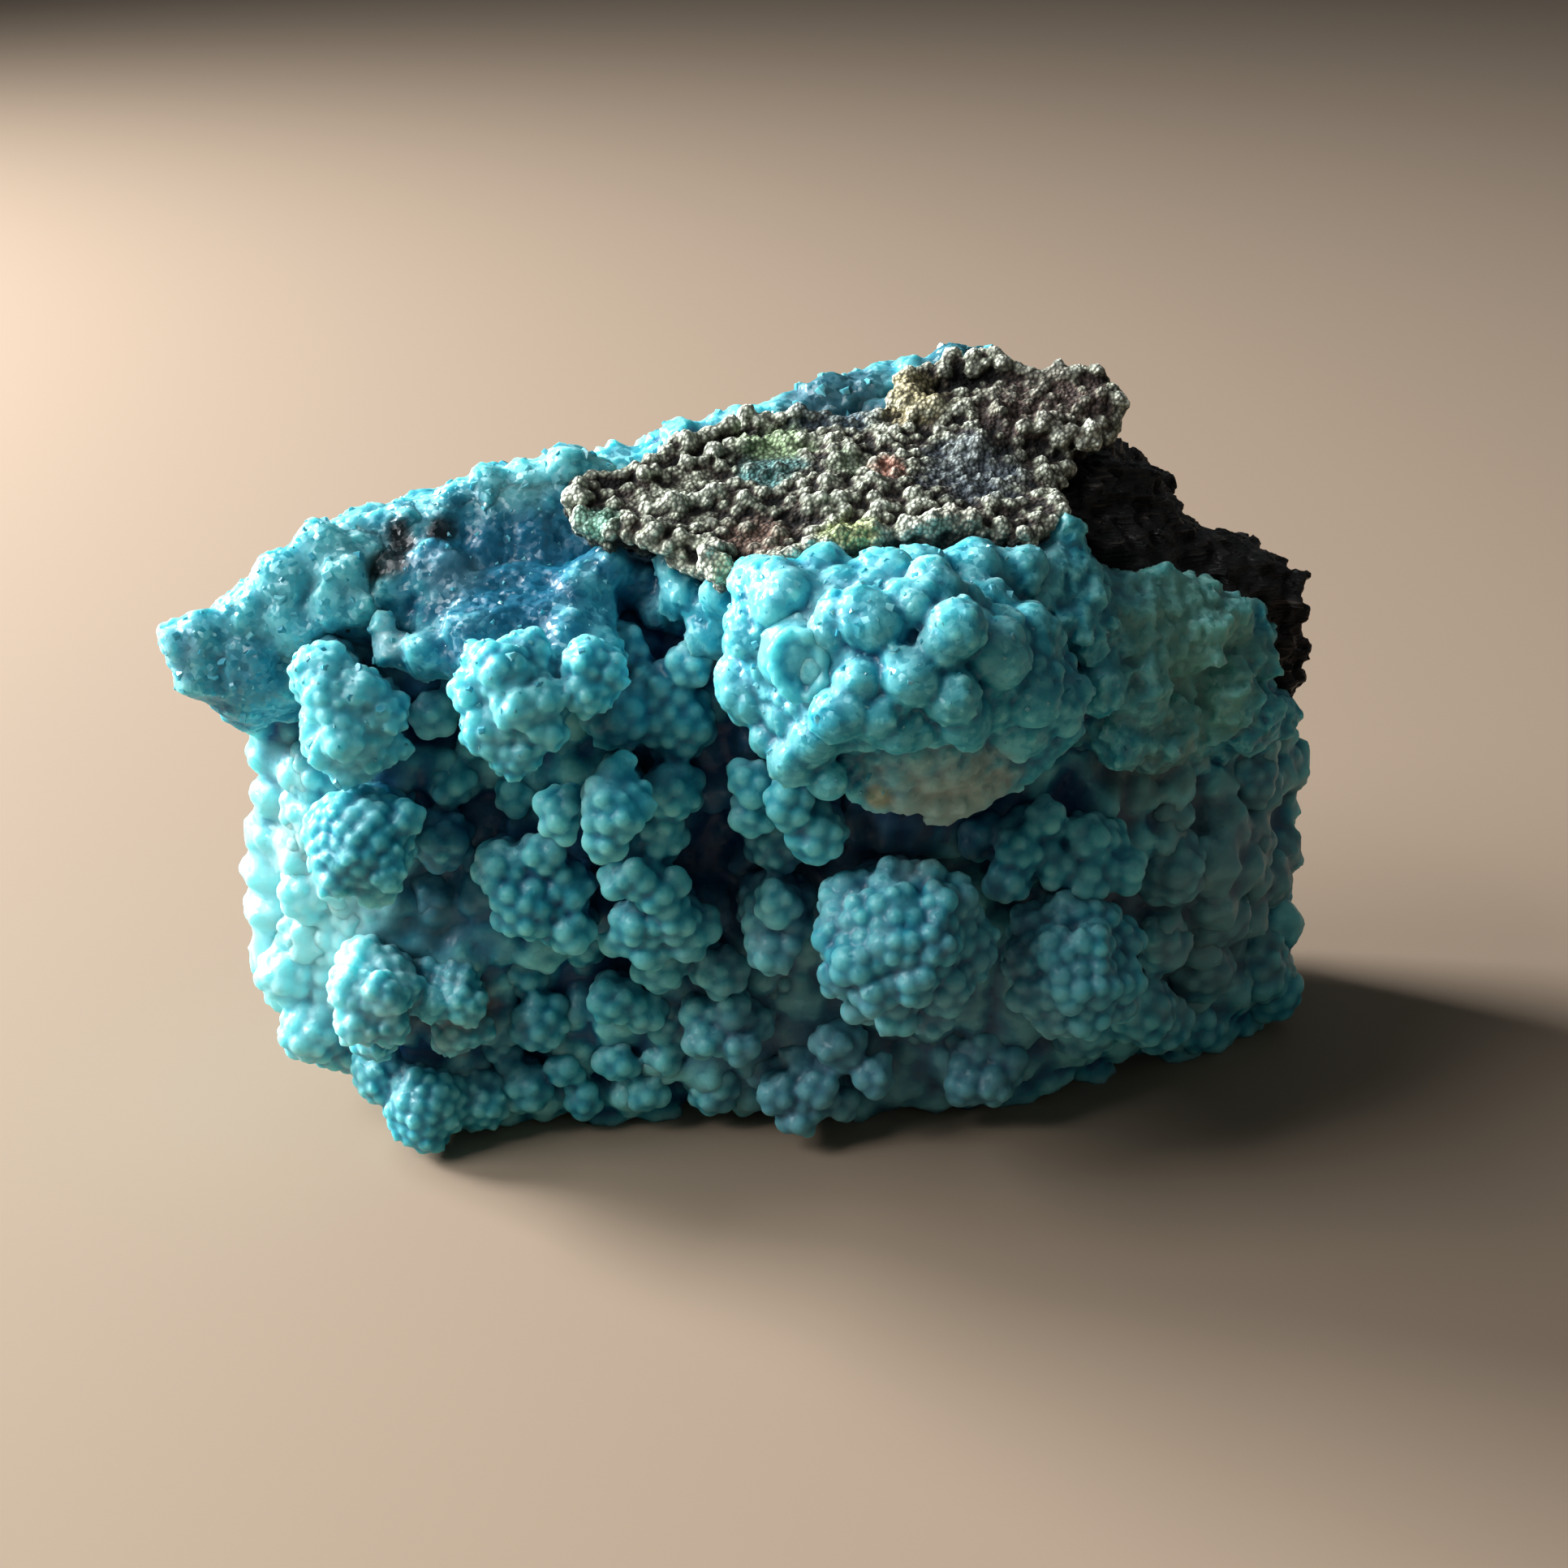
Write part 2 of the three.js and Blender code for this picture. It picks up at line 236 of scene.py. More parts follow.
def spherule_tree() -> bpy.types.NodeTree:
    """Scatter half-sunk spherules over a surface.

    Returns:
        The tree, with inputs for spacing, the range of radii, how deep they sink, the share of places
        that are taken, how far they keep to the sheltered underside, their shape and the seed.
    """
    tree, given = new_tree("spherule coat", {
        "Spacing": 1.0, "Smallest": 0.3, "Largest": 0.6, "Skew": 1.6, "Sink": 0.3, "Detail": 2,
        "Share": 1.0, "Shelter": 0.0, "Blocky": 0.0, "Seed": 1,
    })
    points = add_node(tree, "GeometryNodeDistributePointsOnFaces", {
        "Mesh": (given, "Geometry"), "Distance Min": (given, "Spacing"), "Density Max": DENSEST,
        "Seed": (given, "Seed"),
    }, distribute_method="POISSON")
    under = growth_field(tree, (points, "Normal"), SHELTERED, *SHELTER_RANGE)
    share = add_node(tree, "ShaderNodeMapRange", {
        "Value": (given, "Shelter"), "To Min": (given, "Share"), "To Max": under,
    })
    taken = add_node(tree, "FunctionNodeRandomValue", {6: share, 8: CHOICE_SEED}, data_type="BOOLEAN")
    dice = add_node(tree, "FunctionNodeRandomValue", {8: (given, "Seed")}, data_type="FLOAT")
    skewed = add_node(tree, "ShaderNodeMath", {0: dice, 1: (given, "Skew")}, operation="POWER")
    radius = add_node(tree, "ShaderNodeMapRange", {
        "Value": skewed, "To Min": (given, "Smallest"), "To Max": (given, "Largest"),
    })
    depth = add_node(tree, "ShaderNodeMath", {0: radius, 1: (given, "Sink")}, operation="MULTIPLY")
    inward = add_node(tree, "ShaderNodeMath", {0: depth, 1: -1.0}, operation="MULTIPLY")
    shift = add_node(tree, "ShaderNodeVectorMath", {
        0: (points, "Normal"), "Scale": inward,
    }, operation="SCALE")
    sunk = add_node(tree, "GeometryNodeSetPosition", {"Geometry": (points, "Points"), "Offset": shift})
    ball = add_node(tree, "GeometryNodeMeshIcoSphere", {"Radius": 1.0, "Subdivisions": (given, "Detail")})
    prism = add_node(tree, "GeometryNodeMeshCylinder", {**PRISM, "Radius": 0.9, "Depth": 1.5},
                     fill_type="NGON")
    blocky = add_node(tree, "FunctionNodeCompare", {0: (given, "Blocky"), 1: 0.5}, operation="GREATER_THAN")
    shape = add_node(tree, "GeometryNodeSwitch", {
        "Switch": blocky, "False": (ball, "Mesh"), "True": (prism, "Mesh"),
    }, input_type="GEOMETRY")
    turn = add_node(tree, "FunctionNodeRandomValue", {1: ANY_TURN}, data_type="FLOAT_VECTOR")
    spread = add_node(tree, "GeometryNodeInstanceOnPoints", {
        "Points": sunk, "Selection": taken, "Instance": shape, "Rotation": turn, "Scale": radius,
    })
    whole = add_node(tree, "GeometryNodeJoinGeometry", {"Geometry": spread})
    tree.links.new(given.outputs["Geometry"], whole.inputs["Geometry"])
    finish_tree(tree, whole, None)
    return tree


def crystal_tree(material: bpy.types.Material) -> bpy.types.NodeTree:
    """Scatter small blocky crystals over the side of a surface that faces up and out.

    Args:
        material: The crystals' finish.

    Returns:
        The tree; its output holds the crystals only, and they keep the surface's attributes.
    """
    tree, given = new_tree("crystal druse", {
        "Spacing": 0.6, "Smallest": 0.15, "Largest": 0.45, "Skew": 2.0, "Facing": 0.0, "Seed": 1,
    })
    points = add_node(tree, "GeometryNodeDistributePointsOnFaces", {
        "Mesh": (given, "Geometry"), "Distance Min": (given, "Spacing"),
        "Density Max": DENSEST_CRYSTALS, "Seed": (given, "Seed"),
    }, distribute_method="POISSON")
    facing = add_node(tree, "ShaderNodeVectorMath", {0: (points, "Normal"), 1: DRUSED},
                      operation="DOT_PRODUCT")
    raised = add_node(tree, "ShaderNodeMath", {0: (facing, "Value"), 1: (given, "Facing")},
                      operation="GREATER_THAN")
    dice = add_node(tree, "FunctionNodeRandomValue", {8: (given, "Seed")}, data_type="FLOAT")
    skewed = add_node(tree, "ShaderNodeMath", {0: dice, 1: (given, "Skew")}, operation="POWER")
    size = add_node(tree, "ShaderNodeMapRange", {
        "Value": skewed, "To Min": (given, "Smallest"), "To Max": (given, "Largest"),
    })
    stretch = add_node(tree, "FunctionNodeRandomValue", {
        0: (0.7, 0.7, 0.4), 1: (1.25, 1.25, 1.1), 8: STRETCH_SEED,
    }, data_type="FLOAT_VECTOR")
    scale = add_node(tree, "ShaderNodeVectorMath", {0: stretch, "Scale": size}, operation="SCALE")
    turn = add_node(tree, "FunctionNodeRandomValue", {1: ANY_TURN, 8: TURN_SEED}, data_type="FLOAT_VECTOR")
    prism = add_node(tree, "GeometryNodeMeshCylinder", {**PRISM, "Radius": 1.0, "Depth": 1.6},
                     fill_type="NGON")
    inward = add_node(tree, "ShaderNodeMath", {0: size, 1: -0.5}, operation="MULTIPLY")
    shift = add_node(tree, "ShaderNodeVectorMath", {0: (points, "Normal"), "Scale": inward},
                     operation="SCALE")
    sunk = add_node(tree, "GeometryNodeSetPosition", {"Geometry": (points, "Points"), "Offset": shift})
    spread = add_node(tree, "GeometryNodeInstanceOnPoints", {
        "Points": sunk, "Selection": raised, "Instance": (prism, "Mesh"), "Rotation": turn,
        "Scale": scale,
    })
    finish_tree(tree, spread, material)
    return tree


def swell_tree() -> bpy.types.NodeTree:
    """Push a surface in and out by a soft noise, so that no knob stays a true ball.

    Returns:
        The tree, with inputs for the height and the size of the swells, and how flat the noise lies.
    """
    tree, given = new_tree("uneven growth", {"Height": 0.3, "Size": 3.0, "Layering": 1.0, "Detail": 1.0})
    where = add_node(tree, "GeometryNodeInputPosition")
    pitch = add_node(tree, "ShaderNodeMath", {0: 1.0, 1: (given, "Size")}, operation="DIVIDE")
    flatness = add_node(tree, "ShaderNodeCombineXYZ", {"X": 1.0, "Y": 1.0, "Z": (given, "Layering")})
    layered = add_node(tree, "ShaderNodeVectorMath", {0: where, 1: flatness}, operation="MULTIPLY")
    noise = add_node(tree, "ShaderNodeTexNoise", {
        "Vector": layered, "Scale": pitch, "Detail": (given, "Detail"), "Roughness": 0.5,
    })
    centred = add_node(tree, "ShaderNodeVectorMath", {0: (noise, "Color"), 1: MIDDLE},
                       operation="SUBTRACT")
    doubled = add_node(tree, "ShaderNodeMath", {0: (given, "Height"), 1: 4.0}, operation="MULTIPLY")
    offset = add_node(tree, "ShaderNodeVectorMath", {0: centred, "Scale": doubled}, operation="SCALE")
    moved = add_node(tree, "GeometryNodeSetPosition", {"Geometry": (given, "Geometry"), "Offset": offset})
    finish_tree(tree, moved, None)
    return tree


def strata_tree() -> bpy.types.NodeTree:
    """Push a surface in and out by beds, so that each bed ends on a ledge of its own.

    Returns:
        The tree, with inputs for the thickness of a bed and how far one bed may stand beyond another.
    """
    tree, given = new_tree("bedding ledges", {"Thickness": 0.6, "Reach": 1.2})
    where = add_node(tree, "GeometryNodeInputPosition")
    normal = add_node(tree, "GeometryNodeInputNormal")
    level = add_node(tree, "ShaderNodeVectorMath", {0: where, 1: BEDDING}, operation="DOT_PRODUCT")
    wave = add_node(tree, "ShaderNodeTexNoise", {"Vector": where, "Scale": BED_WAVE_PITCH, "Detail": 2.0})
    waved = add_node(tree, "ShaderNodeMath", {0: (wave, "Fac"), 1: BED_WAVE, 2: (level, "Value")},
                     operation="MULTIPLY_ADD")
    counted = add_node(tree, "ShaderNodeMath", {0: waved, 1: (given, "Thickness")}, operation="DIVIDE")
    bed = add_node(tree, "ShaderNodeMath", {0: counted}, operation="FLOOR")
    shift = add_node(tree, "ShaderNodeMath", {0: bed, 1: BED_SHIFT}, operation="MULTIPLY")
    torn = add_node(tree, "ShaderNodeTexNoise", {
        "Vector": where, "W": shift, "Scale": BED_TEAR_PITCH, "Detail": 3.0, "Roughness": 0.6,
    }, noise_dimensions="4D")
    out = add_node(tree, "ShaderNodeMapRange", {
        "Value": (torn, "Fac"), "From Min": 0.3, "From Max": 0.7, "To Min": -1.0, "To Max": 0.6,
    })
    far = add_node(tree, "ShaderNodeMath", {0: out, 1: (given, "Reach")}, operation="MULTIPLY")
    flat = add_node(tree, "ShaderNodeVectorMath", {0: normal, 1: BED_FLATNESS}, operation="MULTIPLY")
    offset = add_node(tree, "ShaderNodeVectorMath", {0: flat, "Scale": far}, operation="SCALE")
    moved = add_node(tree, "GeometryNodeSetPosition", {"Geometry": (given, "Geometry"), "Offset": offset})
    finish_tree(tree, moved, None)
    return tree


def relief_tree(material: bpy.types.Material, envelope: bpy.types.Object,
                stains_and_painted_light: Sequence["Stain"]) -> bpy.types.NodeTree:
    """Lay fine grain and tilted crystal facets on a skin, and record its crests, hollows and frost.

    Args:
        material: The skin's finish.
        envelope: The mean surface of the whole specimen.
        stains_and_painted_light: The local changes of the skin's colour: real discolourations, painted light
            and painted shade.

    Returns:
        The tree. It stores crest (above 0.5 on a crest, below it in creases), which the finishes paint as
        painted light on crests and painted shade in creases; hollow (1 deep below the mean surface),
        which they paint as painted shade; frost (1 where fine crystals cover the skin); sugar (1 where the
        whole skin is made of crystals); and tint and bare for the colour patches, which are real
        discolourations, painted light and painted shade.
    """
    tree, given = new_tree("fine relief", {
        "Grain Height": 0.03, "Grain Size": 0.3, "Facet Height": 0.0, "Facet Size": 0.6,
        "Frost Height": 0.05, "Crest Reach": 14, "Crest Gain": 3.0, "Hollow Depth": 2.6, "Sugar": 0.0,
        "Floor": 0.0,
    })
    where = add_node(tree, "GeometryNodeInputPosition")
    normal = add_node(tree, "GeometryNodeInputNormal")
    # The crest field: the finishes paint creases darker as painted shade and crests paler as painted light.
    blurred = add_node(tree, "GeometryNodeBlurAttribute", {
        "Value": where, "Iterations": (given, "Crest Reach"),
    }, data_type="FLOAT_VECTOR")
    rise = add_node(tree, "ShaderNodeVectorMath", {0: where, 1: blurred}, operation="SUBTRACT")
    height = add_node(tree, "ShaderNodeVectorMath", {0: rise, 1: normal}, operation="DOT_PRODUCT")
    crest = add_node(tree, "ShaderNodeMath", {
        0: (height, "Value"), 1: (given, "Crest Gain"), 2: 0.5,
    }, operation="MULTIPLY_ADD", use_clamp=True)
    soft_normal = add_node(tree, "GeometryNodeBlurAttribute", {"Value": normal, "Iterations": NORMAL_PASSES},
                           data_type="FLOAT_VECTOR")
    exposed = growth_field(tree, soft_normal, EXPOSED, *FROST_RANGE)
    patches = add_node(tree, "ShaderNodeTexNoise", {"Vector": where, "Scale": FROST_PITCH, "Detail": 1.0})
    patch = add_node(tree, "ShaderNodeMapRange", {
        "Value": (patches, "Fac"), "From Min": FROST_PATCH[0], "From Max": FROST_PATCH[1],
    })
    frost = add_node(tree, "ShaderNodeMath", {0: exposed, 1: patch}, operation="MULTIPLY")
    # How deep the skin lies below the mean surface; the finishes paint it darker there as painted shade.
    mean = add_node(tree, "GeometryNodeObjectInfo", {"Object": envelope}, transform_space="ORIGINAL")
    nearest = {
        label: add_node(tree, "GeometryNodeSampleNearestSurface", {
            "Mesh": (mean, "Geometry"), "Value": source, "Sample Position": where,
        }, data_type="FLOAT_VECTOR") for label, source in (("place", where), ("normal", normal))
    }
    below = add_node(tree, "ShaderNodeVectorMath", {0: (nearest["place"], "Value"), 1: where},
                     operation="SUBTRACT")
    depth = add_node(tree, "ShaderNodeVectorMath", {0: below, 1: (nearest["normal"], "Value")},
                     operation="DOT_PRODUCT")
    deepest = add_node(tree, "ShaderNodeMath", {0: (given, "Hollow Depth"), 1: CLOSING}, operation="ADD")
    hollow = add_node(tree, "ShaderNodeMapRange", {
        "Value": (depth, "Value"), "From Min": CLOSING + HOLLOW_SHADE_START, "From Max": deepest,
    })
    tint, bare = colour_patch_fields(tree, where, stains_and_painted_light)
    fields = {"crest": crest, "frost": frost, "hollow": hollow, "sugar": (given, "Sugar"), "tint": tint,
              "bare": bare}
    marked = (given, "Geometry")
    for name, value in fields.items():
        marked = add_node(tree, "GeometryNodeStoreNamedAttribute", {
            "Geometry": marked, "Name": name, "Value": value,
        }, data_type="FLOAT_VECTOR" if name == "tint" else "FLOAT", domain="POINT")
    grain_pitch = add_node(tree, "ShaderNodeMath", {0: 1.0, 1: (given, "Grain Size")}, operation="DIVIDE")
    grain = add_node(tree, "ShaderNodeTexVoronoi", {"Vector": where, "Scale": grain_pitch},
                     feature="SMOOTH_F1")
    dome = add_node(tree, "ShaderNodeMath", {0: GRAIN_MIDDLE, 1: (grain, "Distance")}, operation="SUBTRACT")
    grain_top = add_node(tree, "ShaderNodeMath", {0: (given, "Grain Height"), 1: 2.0}, operation="MULTIPLY")
    frost_top = add_node(tree, "ShaderNodeMath", {
        0: frost, 1: (given, "Frost Height"), 2: grain_top,
    }, operation="MULTIPLY_ADD")
    grain_up = add_node(tree, "ShaderNodeMath", {0: dome, 1: frost_top}, operation="MULTIPLY")

    facet_pitch = add_node(tree, "ShaderNodeMath", {0: 1.0, 1: (given, "Facet Size")}, operation="DIVIDE")
    cells = add_node(tree, "ShaderNodeTexVoronoi", {"Vector": where, "Scale": facet_pitch}, feature="F1")
    tilt = add_node(tree, "ShaderNodeVectorMath", {0: (cells, "Color"), 1: MIDDLE},
                    operation="SUBTRACT")
    local = add_node(tree, "ShaderNodeVectorMath", {0: where, 1: (cells, "Position")}, operation="SUBTRACT")
    plane = add_node(tree, "ShaderNodeVectorMath", {0: local, 1: tilt}, operation="DOT_PRODUCT")
    slope = add_node(tree, "ShaderNodeMath", {
        0: (given, "Facet Height"), 1: facet_pitch,
    }, operation="MULTIPLY")
    total = add_node(tree, "ShaderNodeMath", {0: (plane, "Value"), 1: slope, 2: grain_up},
                     operation="MULTIPLY_ADD")
    offset = add_node(tree, "ShaderNodeVectorMath", {0: normal, "Scale": total}, operation="SCALE")
    raised = add_node(tree, "GeometryNodeSetPosition", {"Geometry": marked, "Offset": offset})
    parts = add_node(tree, "ShaderNodeSeparateXYZ", {0: where})
    kept_z = add_node(tree, "ShaderNodeMath", {0: (parts, "Z"), 1: (given, "Floor")}, operation="MAXIMUM")
    grounded = add_node(tree, "ShaderNodeCombineXYZ", {"X": (parts, "X"), "Y": (parts, "Y"), "Z": kept_z})
    rested = add_node(tree, "GeometryNodeSetPosition", {"Geometry": raised, "Position": grounded})
    smooth = add_node(tree, "GeometryNodeSetShadeSmooth", {"Geometry": rested})
    finish_tree(tree, smooth, material)
    return tree


def set_inputs(modifier: bpy.types.Modifier, values: dict[str, Setting]) -> None:
    """Set a Geometry Nodes modifier's inputs by their sockets' identifiers.

    Args:
        modifier: The modifier, with its tree already set.
        values: Input name to value.
    """
    by_name = {
        item.name: item.identifier for item in modifier.node_group.interface.items_tree
        if item.item_type == "SOCKET" and item.in_out == "INPUT"
    }
    for name, value in values.items():
        modifier[by_name[name]] = value


@dataclass(frozen=True)
class Spherules:
    """One generation of spherules, in millimetres.

    Attributes:
        spacing: Least distance between two centres.
        smallest: Smallest radius.
        largest: Largest radius.
        sink: Share of the radius that the centre lies below the skin.
        skew: Above 1, small ones outnumber large ones.
        share: Share of the places that are taken.
        shelter: 1 keeps them to the sheltered underside, 0 lets them grow anywhere.
        blocky: Whether they are hexagonal prisms and not balls.
        detail: Subdivisions of each ball.
    """

    spacing: float
    smallest: float
    largest: float
    sink: float = 0.3
    skew: float = 1.5
    share: float = 1.0
    shelter: float = 0.0
    blocky: bool = False
    detail: int = 3


@dataclass(frozen=True)
class Coat:
    """How a growth's skin is made up, in millimetres.

    Attributes:
        generations: Spherules laid one over the other, coarse first.
        swell: Height and size of the uneven growth underneath.
        layering: How much thinner the growth's swells are than they are wide.
        roughness: Octaves of the uneven growth.
        grain: Height and size of the fine warty grain.
        facets: Height and size of the tilted crystal facets.
        frost: Height of the frost of crystals on the exposed side.
        voxel: Mesh size of the finished skin.
        smoothing: Passes of smoothing on the finished skin.
        merging: Passes of smoothing on the seed, which melt its knobs together.
        painted_shade_depth: How far below the mean surface the painted shade of hollows is at its darkest.
        beds: Thickness of its beds and how far one stands beyond another; none at 0.
        first_voxel: Mesh size of the seed's skin.
        sugar: How far the skin is made of small crystals.
        crest_reach: How widely the skin is averaged to tell crests from creases.
        crest_gain: How fast the crest field rises with height.
    """

    generations: tuple[Spherules, ...] = ()
    swell: tuple[float, float] = (0.15, 3.0)
    layering: float = 1.0
    roughness: float = 1.0
    grain: tuple[float, float] = (0.015, 0.35)
    facets: tuple[float, float] = (0.0, 0.6)
    frost: float = 0.08
    voxel: float = 0.15
    smoothing: int = 2
    merging: int = 2
    painted_shade_depth: float = 2.6
    beds: tuple[float, float] = (0.0, 0.0)
    first_voxel: float = 0.3
    sugar: float = 0.0
    crest_reach: int = 9
    crest_gain: float = 3.2


class Habit(Enum):
    """The ways in which the gibbsite has grown."""

    CAULIFLOWER = Coat((Spherules(0.9, 0.4, 0.75, 0.34, 1.2), Spherules(0.6, 0.14, 0.3, 0.3, share=0.3)),
                       (0.2, 2.6), voxel=0.13, smoothing=1)
    GRAPE = Coat((Spherules(0.95, 0.45, 0.8, 0.4, 1.2), Spherules(0.6, 0.14, 0.3, 0.3, share=0.3)),
                 (0.15, 2.6), voxel=0.165, smoothing=1)
    FINE = Coat((Spherules(0.74, 0.34, 0.62, 0.36, 1.2), Spherules(0.4, 0.14, 0.26, 0.25, shelter=1.0)),
                (0.2, 2.4), frost=0.03, voxel=0.135, smoothing=1, merging=2)
    LOBE = Coat((Spherules(1.35, 0.55, 1.4, 0.66, 1.2), Spherules(0.75, 0.2, 0.5, 0.45, share=0.8),
                 Spherules(0.7, 0.24, 0.45, 0.4, shelter=1.0)),
                (0.25, 2.2), facets=(0.16, 0.8), frost=0.04, voxel=0.155, smoothing=1, merging=2,
                first_voxel=0.2, sugar=0.25)
    RING = Coat((Spherules(0.7, 0.16, 0.34, 0.55, share=0.4),), (0.1, 2.0), frost=0.03, voxel=0.12,
                smoothing=1, merging=1, first_voxel=0.14)
    CHUNKY = Coat((Spherules(1.3, 0.5, 1.1, 0.5, 1.4, blocky=True),
                   Spherules(0.7, 0.2, 0.45, 0.4, share=0.6, blocky=True)),
                  (0.4, 2.6), facets=(0.24, 0.8), voxel=0.18, smoothing=1, merging=3, sugar=0.5)
    WALL = Coat((Spherules(2.3, 1.1, 1.7, -0.35, 1.0, share=0.75), Spherules(1.0, 0.4, 0.8, 0.3, 1.0)),
                (0.4, 5.0), voxel=0.36, smoothing=1, painted_shade_depth=1.9)
    FACE = Coat((Spherules(1.2, 0.4, 1.0, 0.88, 1.4, blocky=True), Spherules(0.7, 0.12, 0.3, 0.6, share=0.5)),
                (0.35, 2.4), facets=(0.17, 0.6), frost=0.02, voxel=0.155, smoothing=1, merging=3, sugar=0.35)
    END = Coat((Spherules(1.0, 0.5, 0.9, 0.4, 1.0), Spherules(0.6, 0.16, 0.34, 0.3, share=0.4)),
               (0.25, 2.6), voxel=0.2, smoothing=1)
    REAR = Coat((Spherules(1.6, 0.7, 1.5, 0.4, 1.2), Spherules(0.8, 0.25, 0.5, 0.3, share=0.6)),
                (0.5, 5.0), facets=(0.12, 0.9), frost=0.04, voxel=0.32, sugar=0.35)
    RIM = Coat((Spherules(1.2, 0.5, 1.1, 0.7, 1.2, blocky=True), Spherules(0.5, 0.15, 0.35, 0.4, share=0.5)),
               (0.4, 2.6), facets=(0.1, 0.7), frost=0.03, voxel=0.2, smoothing=2, merging=3, sugar=0.5)
    DRUSY = Coat((Spherules(1.1, 0.4, 1.0, 0.85, 1.4, blocky=True),
                  Spherules(0.7, 0.12, 0.36, 0.65, 1.4, share=0.4, blocky=True)),
                 (0.35, 2.4), grain=(0.02, 0.28), facets=(0.1, 0.7), frost=0.03, voxel=0.15, smoothing=2,
                 merging=3, sugar=0.8)


class Material(Enum):
    """Names for the finishes."""

    GIBBSITE = "blue_gibbsite"
    ROCK = "iron_rock"
    CRUST = "limonite_crust"


@dataclass(frozen=True)
class Stain:
    """A local change of colour, fading out from its centre. Some are real discolourations, some painted light
    and some painted shade.

    Attributes:
        centre: Its centre in millimetres.
        reach: Distance in millimetres at which it has gone.
        colour: Its colour.
        strength: How much of the colour it takes over at the centre.
    """

    centre: tuple[float, float, float]
    reach: float
    colour: str
    strength: float = 0.8


def colour_patch_fields(tree: bpy.types.NodeTree, where: bpy.types.Node, stains_and_painted_light: Sequence[Stain]) -> tuple:
    """Work out how colour patches change a skin's colour: real discolourations, painted light and painted
    shade.

    Args:
        tree: The Geometry Nodes tree.
        where: The node that gives the place in millimetres.
        stains_and_painted_light: The patches, one laid over the other.

    Returns:
        The (node, output) pair of the colour that the patches add, and the node that says how much of
        the skin's own colour is left bare.
    """
    ragged = add_node(tree, "ShaderNodeTexNoise", {"Vector": where, "Scale": RAGGED_PITCH, "Detail": 3.0})
    tint, bare = (0.0, 0.0, 0.0), 1.0
    for colour_patch in stains_and_painted_light:
        away = add_node(tree, "ShaderNodeVectorMath", {0: where, 1: colour_patch.centre}, operation="DISTANCE")
        torn = add_node(tree, "ShaderNodeMath", {
            0: (ragged, "Fac"), 1: colour_patch.reach, 2: (away, "Value"),
        }, operation="MULTIPLY_ADD")
        amount = add_node(tree, "ShaderNodeMapRange", {
            "Value": torn, "From Min": colour_patch.reach * PATCH_START, "From Max": colour_patch.reach * PATCH_FULL,
            "To Max": colour_patch.strength,
        }, interpolation_type="SMOOTHSTEP")
        tint = (add_node(tree, "ShaderNodeMix", {
            "Factor": amount, "A": tint, "B": linear(colour_patch.colour)[:3],
        }, data_type="VECTOR"), "Result")
        rest = add_node(tree, "ShaderNodeMath", {0: 1.0, 1: amount}, operation="SUBTRACT")
        bare = add_node(tree, "ShaderNodeMath", {0: bare, 1: rest}, operation="MULTIPLY")
    return tint, bare


def colour_patched(tree: bpy.types.NodeTree, base: Source) -> bpy.types.Node:
    """Lay the colour patches that a skin carries over its colour: real discolourations, painted light and
    painted shade.

    Args:
        tree: The material's tree.
        base: The (node, output) pair that gives the colour.

    Returns:
        The node that gives the patched colour.
    """
    bare = add_node(tree, "ShaderNodeAttribute", attribute_name="bare")
    tint = add_node(tree, "ShaderNodeAttribute", attribute_name="tint")
    kept = add_node(tree, "ShaderNodeVectorMath", {0: base, "Scale": (bare, "Fac")}, operation="SCALE")
    return add_node(tree, "ShaderNodeVectorMath", {0: kept, 1: (tint, "Vector")}, operation="ADD")


def new_material(name: str) -> tuple:
    """Start a material.

    Args:
        name: Its name.

    Returns:
        The material, its empty tree, and the (node, output) pair of the Object coordinates.
    """
    material = bpy.data.materials.new(name)
    material.use_nodes = True
    tree = material.node_tree
    tree.nodes.clear()
    return material, tree, (add_node(tree, "ShaderNodeTexCoord"), "Object")


def ramp_node(tree: bpy.types.NodeTree, factor: Source,
              stops: Sequence[tuple[float, str]]) -> bpy.types.Node:
    """Add a colour ramp.

    Args:
        tree: The tree.
        factor: What drives it.
        stops: Place and sRGB colour of each stop, in order.

    Returns:
        The ramp.
    """
    ramp = add_node(tree, "ShaderNodeValToRGB", {"Fac": factor})
    while len(ramp.color_ramp.elements) < len(stops):
        ramp.color_ramp.elements.new(0.5)
    for element, (place, colour) in zip(ramp.color_ramp.elements, stops):
        element.position = place
        element.color = linear(colour)
    return ramp


